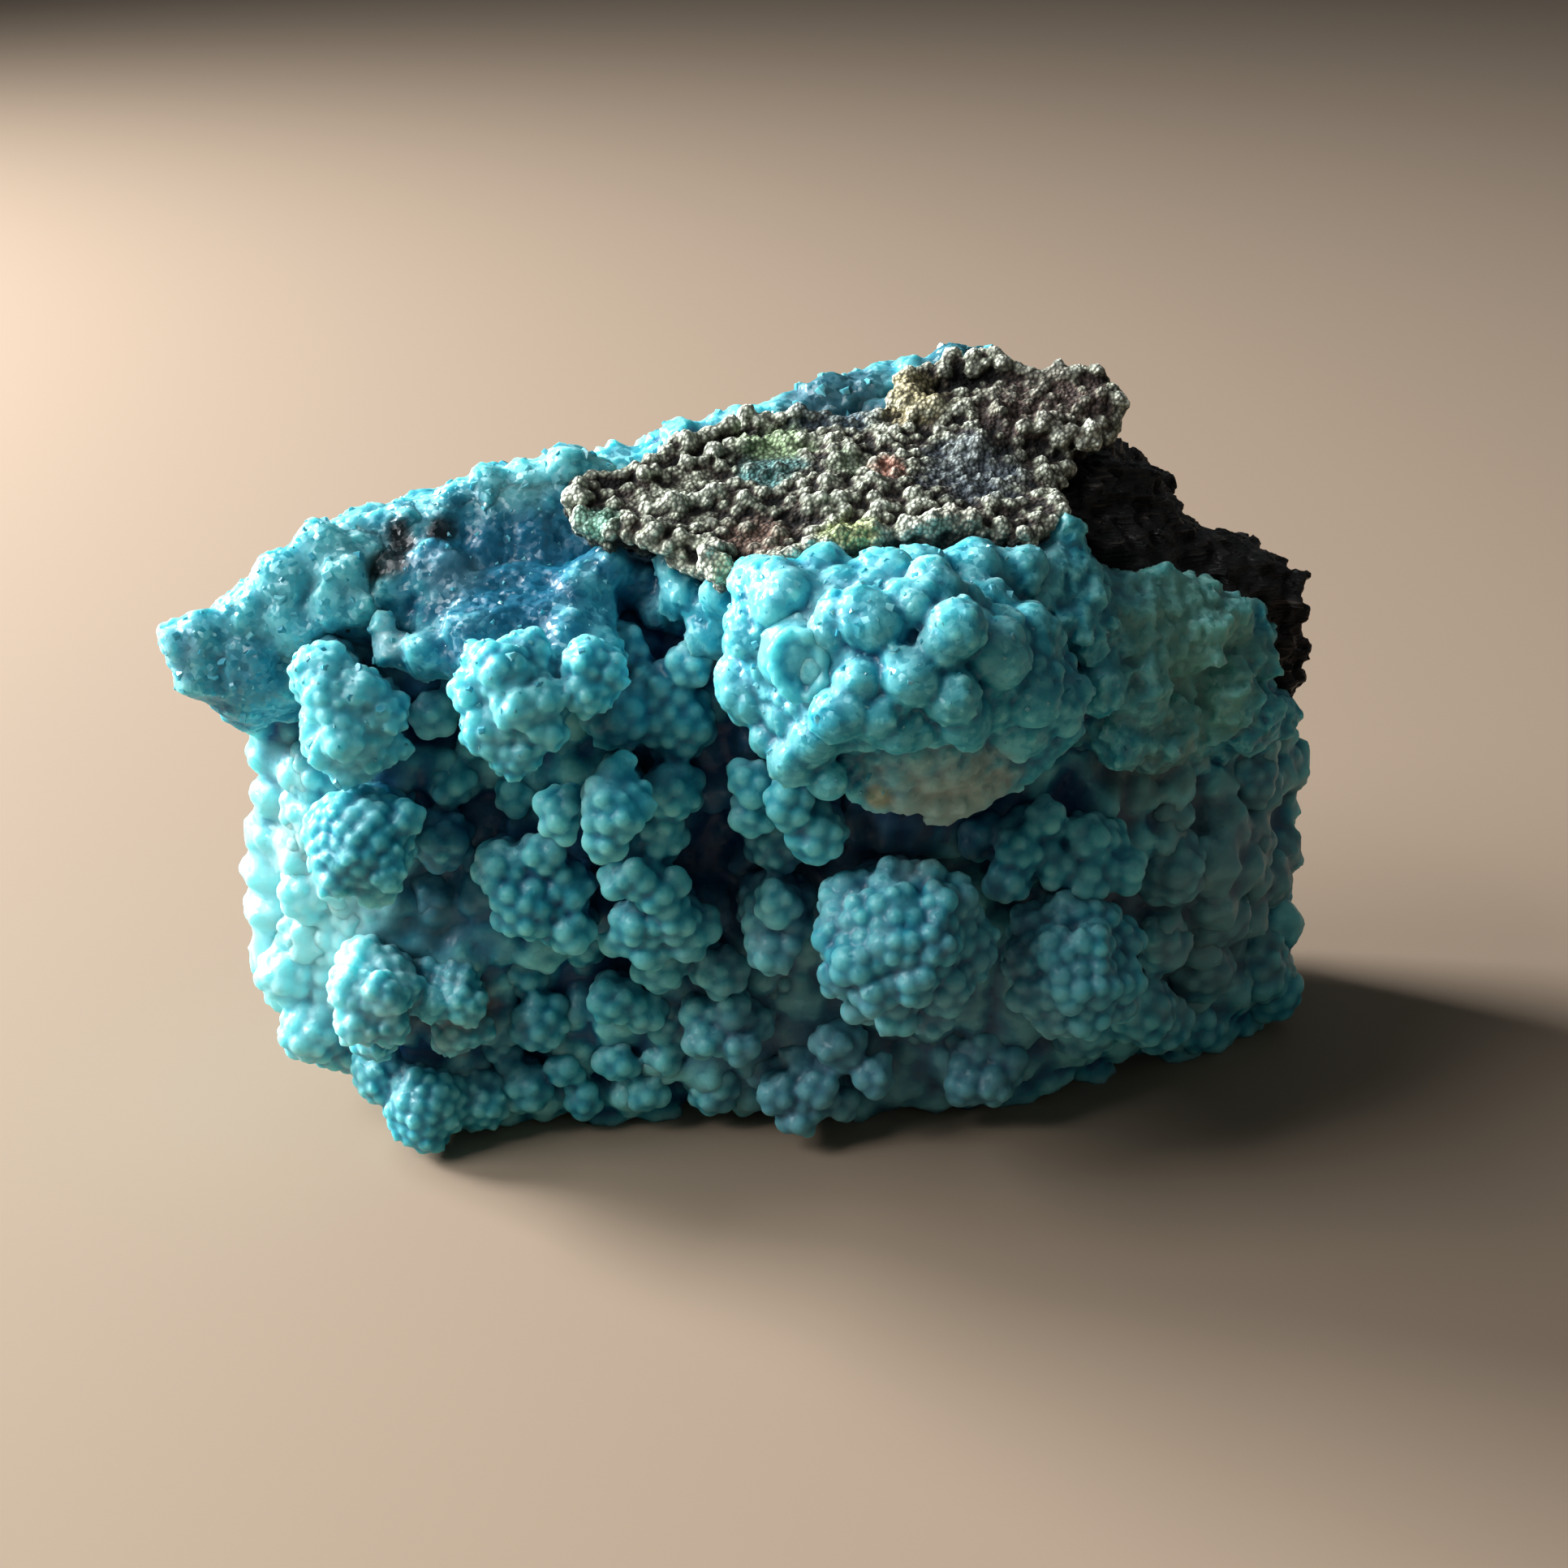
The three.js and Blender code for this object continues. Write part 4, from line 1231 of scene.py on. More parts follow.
class Workshop:
    """Grows a finished piece from a seed, and parents it to the root body."""

    def __init__(self, growths: Sequence["Growth"]) -> None:
        """Make the mean surface and the trees that every piece shares.

        Args:
            growths: Everything that the specimen is made of.
        """
        bench = self._bench(joined_mesh([growth.seed_mesh(CLOSING) for growth in growths]))
        self._voxels(bench, MEAN_VOXEL)
        self._soften(bench, MEAN_PASSES)
        graph = bpy.context.evaluated_depsgraph_get()
        mean = bpy.data.meshes.new_from_object(bench.evaluated_get(graph))
        bpy.data.objects.remove(bench)
        self.envelope = bpy.data.objects.new("mean surface", mean)
        self.spherules = spherule_tree()
        self.swell = swell_tree()
        self.relief: dict[str, bpy.types.NodeTree] = {}
        self.strata = strata_tree()

    def close(self) -> None:
        """Clear the mean surface away."""
        mean = self.envelope.data
        bpy.data.objects.remove(self.envelope)
        bpy.data.meshes.remove(mean)

    def _bench(self, mesh: bpy.types.Mesh) -> bpy.types.Object:
        """Put a seed on the bench as a temporary object.

        Args:
            mesh: The seed.

        Returns:
            The temporary object.
        """
        seed = bpy.data.objects.new("bench", mesh)
        bpy.context.scene.collection.objects.link(seed)
        return seed

    def _voxels(self, seed: bpy.types.Object, size: float) -> None:
        """Add a step that turns everything so far into one skin.

        Args:
            seed: The temporary object.
            size: The skin's mesh size.
        """
        step = seed.modifiers.new("skin", "REMESH")
        step.mode = "VOXEL"
        step.voxel_size = size

    def _soften(self, seed: bpy.types.Object, passes: int) -> None:
        """Add a step that takes the voxels' steps off.

        Args:
            seed: The temporary object.
            passes: How often it smooths.
        """
        step = seed.modifiers.new("soften", "SMOOTH")
        step.factor = SOFTENING
        step.iterations = passes

    def _nodes(self, seed: bpy.types.Object, tree: bpy.types.NodeTree, values: dict[str, Setting]) -> None:
        """Add a Geometry Nodes step.

        Args:
            seed: The temporary object.
            tree: What the step does.
            values: Input name to value.
        """
        step = seed.modifiers.new(tree.name, "NODES")
        step.node_group = tree
        set_inputs(step, values)

    def take(self, seed: bpy.types.Object, name: str, node: str,
             unit: float = MM) -> bpy.types.Object:
        """Freeze what stands on the bench as a finished piece.

        Args:
            seed: The temporary object.
            name: The piece's name.
            node: The CAD node that it stands for.
            unit: What one unit on the bench is in metres.

        Returns:
            The piece, in metres.
        """
        graph = bpy.context.evaluated_depsgraph_get()
        mesh = bpy.data.meshes.new_from_object(seed.evaluated_get(graph))
        mesh.transform(Matrix.Scale(unit, 4))
        mesh.name = name
        used = seed.data
        bpy.data.objects.remove(seed)
        bpy.data.meshes.remove(used)
        piece = bpy.data.objects.new(name, mesh)
        bpy.context.scene.collection.objects.link(piece)
        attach(piece, "root")
        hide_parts(node)
        mesh.calc_loop_triangles()
        LOG.info("%s: %d triangles", name, len(mesh.loop_triangles))
        return piece

    def grow(self, name: str, seed_mesh: bpy.types.Mesh, coat: Coat, material: bpy.types.Material,
             stains_and_painted_light: Sequence[Stain], node: str, random_seed: int) -> bpy.types.Object:
        """Grow one piece.

        Args:
            name: The piece's name.
            seed_mesh: Its balls and blocks, in millimetres.
            coat: How its skin is made up.
            material: Its finish.
            stains_and_painted_light: The finish's colour patches: real discolourations, painted light and
                painted shade.
            node: The CAD node that it stands for.
            random_seed: Fixes the scatter.

        Returns:
            The finished piece.
        """
        seed = self._bench(seed_mesh)
        self._voxels(seed, coat.first_voxel)
        self._soften(seed, coat.merging)
        if coat.beds[1]:
            self._nodes(seed, self.strata, {"Thickness": coat.beds[0], "Reach": coat.beds[1]})
        self._nodes(seed, self.swell, {
            "Height": coat.swell[0], "Size": coat.swell[1], "Layering": coat.layering,
            "Detail": coat.roughness,
        })
        for order, layer in enumerate(coat.generations):
            self._nodes(seed, self.spherules, {
                "Spacing": layer.spacing, "Smallest": layer.smallest, "Largest": layer.largest,
                "Skew": layer.skew, "Sink": layer.sink, "Detail": layer.detail - order,
                "Share": layer.share, "Shelter": layer.shelter, "Blocky": float(layer.blocky),
                "Seed": random_seed * 10 + order,
            })
        self._voxels(seed, coat.voxel)
        self._soften(seed, coat.smoothing)
        if material.name not in self.relief:
            self.relief[material.name] = relief_tree(material, self.envelope, stains_and_painted_light)
        self._nodes(seed, self.relief[material.name], {
            "Grain Height": coat.grain[0], "Grain Size": coat.grain[1],
            "Facet Height": coat.facets[0], "Facet Size": coat.facets[1], "Frost Height": coat.frost,
            "Hollow Depth": coat.painted_shade_depth, "Sugar": coat.sugar, "Crest Reach": coat.crest_reach,
            "Crest Gain": coat.crest_gain,
        })
        return self.take(seed, name, node)

    def druse(self, host: bpy.types.Object, tree: bpy.types.NodeTree, druse: Druse) -> bpy.types.Object:
        """Dust a finished piece with crystals.

        Args:
            host: The piece.
            tree: The crystal tree.
            druse: How dense and how large.

        Returns:
            The crystals as a piece of their own.
        """
        seed = self._bench(host.data.copy())
        self._nodes(seed, tree, {
            "Spacing": druse.spacing * MM, "Smallest": druse.smallest * MM, "Largest": druse.largest * MM,
            "Facing": druse.facing,
        })
        return self.take(seed, f"{host.name}_crystals", "gibbsite_mass", 1.0)


# Painted shade: a darker, duller copy of the gibbsite finish for the growth on the back, which the back-left
# lamp lights strongly.
SHADED_BACK_FINISH = GibbsiteFinish(
    name="dull gibbsite of the broken back", shaded_crease="#02415c", body="#1d6c82", crest="#519cab",
    hollow="#012a48", frosting="#72b3bf", roughness=0.6, stains_and_painted_light=(
        Stain((-14, 14, 17), 7.0, "#4b5650", 0.7),
        Stain((-22, 9, 7), 6.0, "#37606a", 0.6),
        Stain((3, 16, 9), 8.0, "#5d6153", 0.6),
        Stain((14, 15, 14), 7.0, "#34403d", 0.75),
        Stain((-6, 14, 28), 6.0, "#2c7a90", 0.6),
        Stain((-19, 11, 25), 4.0, "#6b6a58", 0.5),
    ),
)

DRUSES = {
    "ridge": Druse(0.9, 0.1, 0.36, -0.1),
    "slope": Druse(1.3, 0.08, 0.22, 0.0),
    "centre_bulge": Druse(0.9, 0.08, 0.26, 0.5),
    "upper_pair": Druse(0.8, 0.08, 0.24, 0.55),
    "left_shoulder": Druse(0.8, 0.1, 0.3, 0.5),
    "rear_rim": Druse(1.3, 0.15, 0.4, 0.1),
}

GROWTHS = (
    Growth("body", Habit.WALL, {
        "left_block": [
            (-20, -1.4, 2.1, 2), (-8, -1.4, 2.1, 2), (-26, 0, 7.5, 2), (-24.6, 0, 19, 2),
            (-21.5, 0.6, 28.4, 2), (-11, 1.6, 30.4, 2), (-9, -1.8, 18, 2), (-19, -1.8, 18, 2),
            (-20, 8, 2.3, 2.2), (-24, 7.5, 9, 3), (-21, 9, 25, 3), (-8, 11.5, 4, 3), (-9, 10, 29, 3),
        ],
        "nose_block": [
            (-24, -0.6, 27, 2.4), (-26.8, -2.8, 26.8, 1.2), (-26, -1.8, 25.4, 1.2), (-22.5, -0.6, 28.8, 1.6),
        ],
        "middle_block": [
            (-9, -1.4, 2.1, 2), (-9, -1.8, 24, 2), (-4, -1.4, 29.5, 2), (9, -0.6, 2.1, 2),
            (9, -1.8, 22, 2.5), (12, 0, 30, 2), (-8, 3, 30.6, 2), (-8, 12, 3.5, 3.3),
            (11, 12, 3.5, 3.3), (-6, 9, 31, 2.4), (8, 10.5, 33, 2.4), (11, 12, 26, 3),
        ],
        "right_block": [
            (9, -0.6, 2.1, 2), (14, -1.8, 17, 2), (21, 0.4, 13, 2.2), (22, 4.8, 2.1, 2),
            (27, 8.5, 2.3, 2.2), (25.8, 7.5, 12, 2), (25.5, 6.5, 18, 2), (12, 0.5, 30, 2),
            (12, 12, 3.5, 3.3), (25.5, 11.5, 4, 3), (24.5, 11.5, 18, 3), (11, 12, 26, 3),
        ],
    }),
    Growth("rear_rim", Habit.RIM, {
        "rim": [
            (-4.5, 8.2, 34.6, 1.6), (2.5, 11, 36.2, 1.6), (9.5, 12, 37.4, 1.6), (3, 13.8, 32, 2.4),
            (9, 14.5, 33, 2.2), (-5, 12, 31, 2.4), (-11, 6, 33, 1.6),
        ],
    }, {
        "summit": (9.2, 12, 38.3, 1.5), "summit_side": (7, 11.6, 37.7, 1.4),
        "summit_end": (11.2, 12.3, 38.1, 1.2), "summit_foot": (5.2, 11.3, 37.1, 1.3),
        "middle": (2.4, 10.6, 36.8, 1.4), "left": (-2.2, 8.6, 35.6, 1.3), "far_left": (-5.4, 7, 35.2, 1.2),
        "shoulder": (5, 11.2, 36.6, 1.4),
    }),
    Growth("slope", Habit.FACE, {
        "face": [
            (-21.5, -3.6, 29.4, 1.3), (-14.5, -3.7, 29.2, 1.3), (-9.5, -3, 29.4, 1.3),
            (-22.8, -1.2, 32.2, 1.4), (-16, 0.2, 33.8, 1.3), (-10.6, 1.2, 34.9, 1.3), (-9.5, 4, 33.5, 1.6),
            (-20, 5, 31, 2),
        ],
        "apron": [
            (-17.6, -6.4, 28.4, 1), (-9, -7.4, 29.2, 1), (-16.6, -3.8, 30.8, 1), (-9.5, -3.4, 31.4, 1),
            (-13.4, -8, 28.8, 1), (-13, -4, 28, 1.5),
        ],
        "slab": [
            (-20.3, -4.2, 30.8, 0.5), (-18.6, -4.4, 30.7, 0.5), (-16.2, -3.4, 32.3, 0.5),
            (-17.2, -2.6, 33, 0.5), (-19.6, -3, 31.8, 0.5),
        ],
    }, {
        "dome": (-9.9, -4.4, 31.2, 1.5), "dome_side": (-11.4, -4.3, 30.4, 1.2),
        "dome_high": (-8.8, -3.6, 32, 1.2), "bud": (-19.3, -6.2, 29.2, 0.75),
        "bud_top": (-19.9, -5.8, 29.8, 0.6), "bud_low": (-18.7, -6, 28.8, 0.6),
        "lip_left": (-17.4, -6.6, 28.9, 1.1), "lip": (-15.4, -6.6, 29.6, 1.2),
        "lip_right": (-10.6, -6.8, 30, 1.1), "inner_fill": (-7.4, -2.6, 31, 1.5),
        "inner": (-4.8, -4.6, 31, 1.4), "inner_low": (-3.6, -6, 29.6, 1.3),
        "inner_right": (-3, -6.8, 31.7, 1.1), "inner_high": (-5.4, -4.4, 32.4, 1),
        "inner_neck": (-4, -2.5, 30, 2.4), "inner_left": (-6.2, -3.4, 30.2, 1.2),
    }),
    Growth("ridge", Habit.DRUSY, {
        "nose": [
            (-24.4, -2, 27, 3.1), (-28.5, -4, 26.6, 1.9), (-29.6, -4.7, 28.4, 1.1), (-27.3, -3, 24.8, 1.7),
            (-23.2, -1.8, 30.6, 2.2),
        ],
    }, {
        "nose_tip": (-30.2, -4.8, 28.9, 1), "nose_tip_top": (-28.9, -4.5, 29.2, 1.2),
        "nose_top": (-26.8, -4, 29.7, 1.6), "nose_ridge": (-24.8, -3.2, 31.2, 1.8),
        "nose_low": (-28.9, -4.6, 26.8, 1.4), "nose_under": (-27.2, -3.8, 25.4, 1.6),
        "nose_middle": (-26.6, -4.8, 27.6, 1.5), "bright": (-22.2, -4.7, 30.4, 1.2),
        "bright_right": (-20.9, -4.8, 30.4, 1), "bright_high": (-21.8, -3.8, 31.7, 1.2),
        "bright_left": (-24.3, -4.5, 29.4, 1.5), "crest_left": (-22.9, -2.5, 32.6, 1.6),
        "crest_dip": (-20.9, -1.8, 32.2, 1.4), "crest": (-19, -0.4, 33.3, 1.4),
        "crest_middle": (-16.6, 0.4, 34, 1.4), "crest_step": (-14.9, 0.6, 34.6, 1.4),
        "block": (-12.8, 1.1, 35, 1.4), "block_right": (-10.9, 1.3, 35.4, 1.5),
        "block_end": (-9.7, 1.4, 34.8, 1.3), "behind_left": (-21, 1, 32.2, 1.8),
        "behind": (-15, 3, 33.4, 1.8), "neck": (-24.4, -3, 28, 2),
    }),
    Growth("centre_bulge", Habit.LOBE, {
        "core": [
            (-0.3, -8.1, 29, 2.4), (4.8, -9.8, 29.4, 3.4), (10.8, -8.1, 28.6, 2.8), (0.8, -7.5, 31, 1.4),
            (7, -8.2, 31.6, 1.6), (12, -4.5, 31, 1.4), (0, -2, 26.5, 3), (12, -2, 24, 3),
        ],
        "front": [
            (-0.9, -10.6, 31.7, 1.6), (-0.9, -10.8, 28.8, 1.7), (0.2, -11.6, 27.2, 1.2),
            (0.4, -10.6, 33, 1.6), (4, -13.2, 32.5, 1.5), (6.6, -12.5, 32.9, 1.6), (9, -12.6, 31.2, 1.7),
            (5.8, -14.6, 30.6, 1.5), (3, -14.2, 29.4, 1.5), (6.8, -14, 28.6, 1.4),
            (10.9, -11.2, 28.7, 1.8), (12.3, -9.6, 28, 1.7), (10.8, -10, 30.6, 1.7), (1.4, -13, 27.8, 1.2),
            (4.4, -10, 32.8, 1.7),
        ],
        "broken_face": [
            (1.6, -12.4, 25.4, 0.5), (3.8, -12.8, 24, 0.5), (7, -12.4, 23.6, 0.5), (10.2, -11.2, 23.7, 0.5),
            (12.4, -10, 24.6, 0.5), (13.6, -8.8, 26, 0.5), (4, -8, 24, 0.5), (11, -7, 23.6, 0.5),
            (2, -11, 28, 0.5), (12, -10, 28, 0.5), (7, -13.4, 27, 0.5),
        ],
    }, {
        "top_left": (0, -11, 33.2, 1.7), "top_left_back": (-0.8, -9.4, 33, 1.6),
        "left": (-1.2, -11, 31.4, 1.5), "left_low": (-1.3, -11, 28.8, 1.7),
        "bottom_left": (-0.4, -11.8, 26.9, 1.2), "top_middle": (3.9, -14, 33.3, 1.4),
        "top_middle_side": (2.7, -13.5, 33, 1), "top_right": (6.6, -12.4, 33.8, 1.5),
        "top_right_front": (5.4, -13.7, 33.9, 1.1), "right_high": (7.3, -14.7, 32.6, 1.3),
        "far_right": (9.4, -13.5, 31.5, 1.6), "bright": (5.9, -15.8, 31, 1.1),
        "bright_right": (7.2, -15.5, 30.6, 1.1), "small": (5, -15.4, 32.2, 0.7),
        "long_upper": (3.3, -15.2, 30.8, 0.95), "long_lower": (2.8, -15.1, 29.4, 1.2),
        "middle": (4.5, -15.3, 29.5, 1.1), "middle_low": (5.5, -14.8, 28.7, 1.3),
        "low_right": (8.2, -14.8, 28.6, 0.95), "end_upper": (11.2, -12, 29.3, 1.8),
        "end_right": (12.8, -10.3, 27.8, 1.6), "end_high": (11.4, -10.4, 31, 1.6),
        "end_low": (11, -11.4, 27.2, 1.4), "low_left": (1.3, -14.1, 27.5, 0.85),
        "low_left_side": (0.3, -13.3, 26.2, 0.75), "pearl": (2.1, -13.7, 24.9, 0.65),
        "pearl_high": (2, -13.7, 26, 0.5), "drip": (7.4, -11.6, 22.9, 0.35),
        "drip_tip": (7.4, -11.6, 22.5, 0.25), "drusy_top": (4.5, -10.4, 33.4, 1.7),
        "drusy_back": (2, -9, 33.6, 1.4), "neck_left": (6.6, -8, 33.2, 1.4), "neck": (9, -7.2, 33, 1.4),
        "neck_right": (11.2, -6.4, 32.7, 1.3), "neck_front": (9.6, -9.4, 32.4, 1.2),
    }),
    Growth("crater", Habit.RING, {}, {
        "boss": (0.9, -12.4, 31.1, 2.1), "lens": (0.7, -13.3, 31.2, 1.15),
    }, bands={
        "ring": Band(oval((0.7, -14.25, 31.2), (1.15, -0.3, 0.1), (-0.15, 0.35, 1.45)), 0.34, 0.3, 0.12),
    }),
    Growth("right_flank", Habit.CHUNKY, {
        "flank_block": [
            (12.5, -2.6, 30.4, 2), (13, -3.4, 25, 2.2), (18.5, -0.8, 28.3, 1.8), (18.5, -1.2, 22.5, 2.2),
            (24.5, 3.2, 25, 1.6), (25.3, 4.2, 19.5, 1.8), (15, 8, 27, 3), (23, 9, 22, 3),
        ],
        "drape": [
            (13.2, -3, 33.6, 0.9), (13.9, -3.6, 33.8, 0.7), (12.4, -5, 31.8, 1.1), (14.4, -5.4, 30.4, 1.2),
            (13, -5.2, 29.6, 1.3), (15.4, -3.4, 30.2, 1),
        ],
        "upper_bank": [
            (15, -3, 30.6, 0.8), (19.4, -1, 30.4, 0.7), (22, 0.6, 29, 0.9), (24.4, 2.4, 26.8, 1),
            (16, -4.2, 28.4, 1.1), (20.4, -1.6, 27, 1.2),
        ],
    }, {
        "top": (13.1, -4.9, 32.4, 1.2), "top_low": (13.5, -6, 30.8, 1.3), "upper": (16.8, -2.8, 29.6, 1.2),
        "upper_low": (14.9, -5.4, 29.4, 1.2), "upper_right": (18.6, -2, 29.4, 1.1),
        "middle": (17.6, -4, 25.6, 1.9), "middle_left": (15.4, -5.4, 26.6, 1.6),
        "right": (21, -1, 27.6, 1.7), "right_edge": (24.4, 1.8, 25.6, 1.5), "low": (19.4, -3, 23.2, 1.8),
        "end": (22.8, -0.4, 24, 1.9), "peak": (19.6, -1.3, 30.7, 0.7),
        "peak_tip": (19.6, -1.4, 31.3, 0.35), "below": (17, -4.6, 23.4, 1.5),
        "end_low": (24.6, 0.8, 22, 1.7), "end_edge": (26.2, 3.2, 21.6, 1.6),
        "step": (22.6, 0.2, 28.4, 1.2), "drape": (12.4, -6.6, 31.8, 0.8),
        "drape_low": (14.2, -6.6, 30.2, 0.7),
    }),
    Growth("upper_pair", Habit.FINE, {}, {
        "core": (-12.4, -10.5, 28, 2.1), "crown": (-13.1, -11, 29.6, 1.45),
        "crown_left": (-14.3, -10.3, 30, 0.95), "crown_right": (-12.1, -10, 29.9, 1.15),
        "left": (-14.5, -10.8, 28.6, 1.15), "left_low": (-14, -11.4, 26.9, 1.3),
        "right_low": (-11.2, -11.9, 27.1, 1), "bottom": (-12.5, -11.7, 25.8, 1.1),
        "front": (-12.4, -12.3, 28.4, 1), "front_right": (-11.2, -12, 28.7, 0.8),
        "small_core": (-9, -10.3, 29.2, 1.4), "small_top": (-9.3, -10.8, 30, 1.05),
        "small_low": (-9.1, -11.3, 28.8, 1.05), "small_side": (-8.2, -11, 29.5, 0.95),
        "between": (-10, -10.7, 28.6, 0.75),
    }, wall=-1.0),
    Growth("left_shoulder", Habit.FINE, {}, {
        "core": (-21.2, -7.6, 25.8, 2.3), "top": (-22.4, -7.6, 28.1, 1.5),
        "upper_left": (-22, -9, 27.4, 1.15), "upper": (-20.5, -8.5, 27.6, 1.15),
        "right": (-19.4, -8.6, 26.5, 1.1), "front": (-21.2, -9.7, 25.9, 1.15),
        "low_right": (-20.1, -9, 24.7, 1.1), "low_left": (-22.2, -9.1, 24.8, 1),
        "drop": (-21.2, -9, 23.7, 0.85), "side": (-19.3, -8.2, 24.5, 0.75),
    }, wall=-1.0),
    Growth("left_ball", Habit.FINE, {}, {
        "ball": (-21, -9.3, 19.9, 2.55), "chip": (-18.4, -9.6, 21.3, 0.75), "low": (-20.2, -10.6, 17.9, 0.8),
        "low_left": (-21.8, -11, 18.6, 0.9), "side": (-19.4, -10.9, 19.2, 1), "top": (-21.6, -10, 21.4, 1.1),
    }, wall=-1.0),
    Growth("left_edge", Habit.GRAPE, {
        "edge": [
            (-23.7, -1.6, 21.6, 1.5), (-25, -2, 14, 1.5), (-26.2, -1.8, 7.6, 1.6), (-24.9, -2.6, 4.4, 1.5),
            (-23, -3.2, 12, 1.2), (-22.4, -3, 4, 1.4), (-22.6, -2.6, 20, 1.2),
        ],
    }, {
        "upper": (-24.6, -2.8, 18.4, 1.6), "middle": (-25.2, -2.8, 13.8, 1.6),
        "low": (-26.7, -2.6, 8.8, 1.7), "foot": (-25.8, -3.8, 5.6, 1.6),
        "middle_low": (-26, -2.4, 11.2, 1.3), "middle_high": (-24.9, -2.4, 16.2, 1.3),
        "high": (-24.2, -2.6, 21, 1.4), "recess_high": (-17.6, -4.5, 24.8, 1.1),
        "recess_upper": (-17, -4.2, 20.8, 1.1), "recess_middle": (-17.6, -4.9, 17.8, 1.5),
        "recess_low": (-18.5, -4, 14.2, 1.1), "recess_inner": (-13.7, -4.8, 20.2, 1),
        "recess_left": (-23.4, -4, 15, 1.3), "recess_top": (-17.6, -4, 28, 1),
        "recess_right": (-16.2, -3.2, 26.2, 1), "recess_deep": (-15.4, -3.4, 22.6, 1.1),
        "recess_base": (-15.6, -3.4, 16, 1.1), "recess_foot": (-14.8, -3.6, 12, 1.2),
        "recess_side": (-22.6, -3.8, 12.8, 1),
    }, wall=1.0),
    Growth("low_left_growth", Habit.FINE, {}, {
        "core": (-21.4, -6.4, 9.8, 1.9), "high": (-22.1, -6.2, 11.5, 1.1),
        "high_right": (-20.7, -6.2, 11.1, 1), "left": (-22.5, -7.8, 10.8, 1.1),
        "front": (-20.7, -8.3, 10.6, 1.15), "low": (-22.1, -8.5, 9.1, 1.1),
        "low_right": (-20.5, -8.3, 8.7, 1), "right": (-19.7, -7, 10.6, 0.75),
        "drop": (-21.6, -7, 7.3, 1.2), "inner": (-17.6, -5, 8.8, 1.8),
        "inner_high": (-17.2, -5.6, 10.2, 1), "inner_top": (-18.8, -5, 10.1, 0.95),
        "inner_left": (-18.4, -6.7, 9.2, 1), "inner_right": (-16.7, -6.7, 9, 1),
        "inner_low": (-17.6, -6.4, 7.1, 1), "inner_end": (-16.2, -6.2, 7.1, 0.8),
        "tip": (-19.4, -6.3, 2.6, 2.1), "tip_inner": (-16.6, -5.1, 2.2, 1.8),
        "tip_left": (-21.8, -5.2, 3.9, 1.5), "tip_front": (-19, -7.2, 1.2, 1),
    }, wall=1.0),
    Growth("hanging_growth", Habit.GRAPE, {}, {
        "core": (-13, -6.9, 16.6, 1.9), "top": (-12.2, -7.8, 18.3, 1.1), "right": (-11.1, -7.6, 16.6, 1.3),
        "left": (-14.3, -7.8, 17.5, 1.3), "low": (-13.1, -8.5, 15.7, 1.5),
        "low_right": (-11, -8.3, 14.5, 1.3), "drop": (-12.7, -8.4, 14.6, 0.7),
        "front": (-13.8, -9, 16.7, 0.8), "beyond_left": (-8.2, -6.4, 25.4, 1.7),
        "beyond_right": (-5.4, -6, 25, 1.9), "beyond_middle": (-5.4, -7.6, 21.9, 1.3),
        "beyond_low": (-6.2, -7.6, 19.4, 1.2), "pair_left": (-8.2, -9.1, 17.6, 0.9),
        "pair_right": (-6.4, -9.2, 16.9, 0.9), "pair_core": (-7.2, -7.6, 17.6, 1.4),
        "pair_top": (-7.3, -9.6, 18.3, 0.65), "pair_side": (-5.4, -8.9, 17.4, 0.65),
        "cluster": (-6.4, -6.8, 14.8, 1.7), "cluster_left": (-7.6, -8.3, 14.7, 1.15),
        "cluster_right": (-5.6, -8.5, 15.3, 1.15), "cluster_low": (-6.9, -8.2, 13.3, 1),
        "cluster_end": (-4.8, -8, 13.5, 0.9), "cluster_edge": (-8.3, -8.2, 13.6, 0.75),
        "cluster_far": (-4, -7.5, 14.3, 0.75), "void_high": (-7.8, -5, 28.4, 1.2),
        "void_middle": (-6.4, -5.8, 26.8, 1.2), "void_low": (-9, -5, 25.6, 1.3),
        "void_right": (-4.6, -6.4, 28, 1.1), "void_left": (-9.6, -5, 27.4, 1.1),
        "low_left": (-6.4, -6.2, 11.3, 1.4), "low_right_far": (-3.4, -6.2, 10.8, 1.3),
    }, wall=1.0),
    Growth("twin_growth", Habit.GRAPE, {}, {
        "core": (-8.2, -11, 22.8, 1.3), "top": (-7.8, -10.6, 24.3, 0.7), "side": (-7, -11.2, 23.1, 0.7),
        "upper": (-8.5, -11.9, 23.5, 0.95), "front": (-7.7, -12.2, 22.7, 1),
        "low": (-8.6, -12, 21.3, 0.95), "left": (-8.9, -12.2, 22.5, 0.7),
        "side_core": (-10.7, -9.2, 21.8, 1), "side_top": (-10.4, -10, 22.4, 0.6),
        "side_left": (-11.5, -9.4, 22.1, 0.6), "side_low": (-11.4, -9.8, 21.1, 0.55),
        "side_drop": (-10.6, -10, 20.6, 0.5), "side_front": (-10.9, -10.1, 21.7, 0.7),
        "tooth_upper": (0.3, -11, 23, 1.2), "tooth_lower": (1.7, -10.8, 21.1, 1.3),
        "tooth_middle": (0.9, -10.2, 22, 1.2), "tooth_left": (-1.6, -9.2, 23, 1),
        "tooth_left_low": (-1.6, -8.8, 21.2, 1), "column_core": (-0.4, -6.6, 14.8, 1.9),
        "column_high": (-0.3, -8.5, 16.1, 1.1), "column_low": (-0.7, -8.6, 13.3, 1.1),
        "column_left": (-1.1, -8.2, 14.6, 0.85), "column_side": (0.4, -8.2, 14.4, 0.85),
        "column_end": (0.2, -8.6, 13.7, 0.75), "column_neck": (-0.3, -6.4, 18.4, 1.5),
    }, wall=1.0),
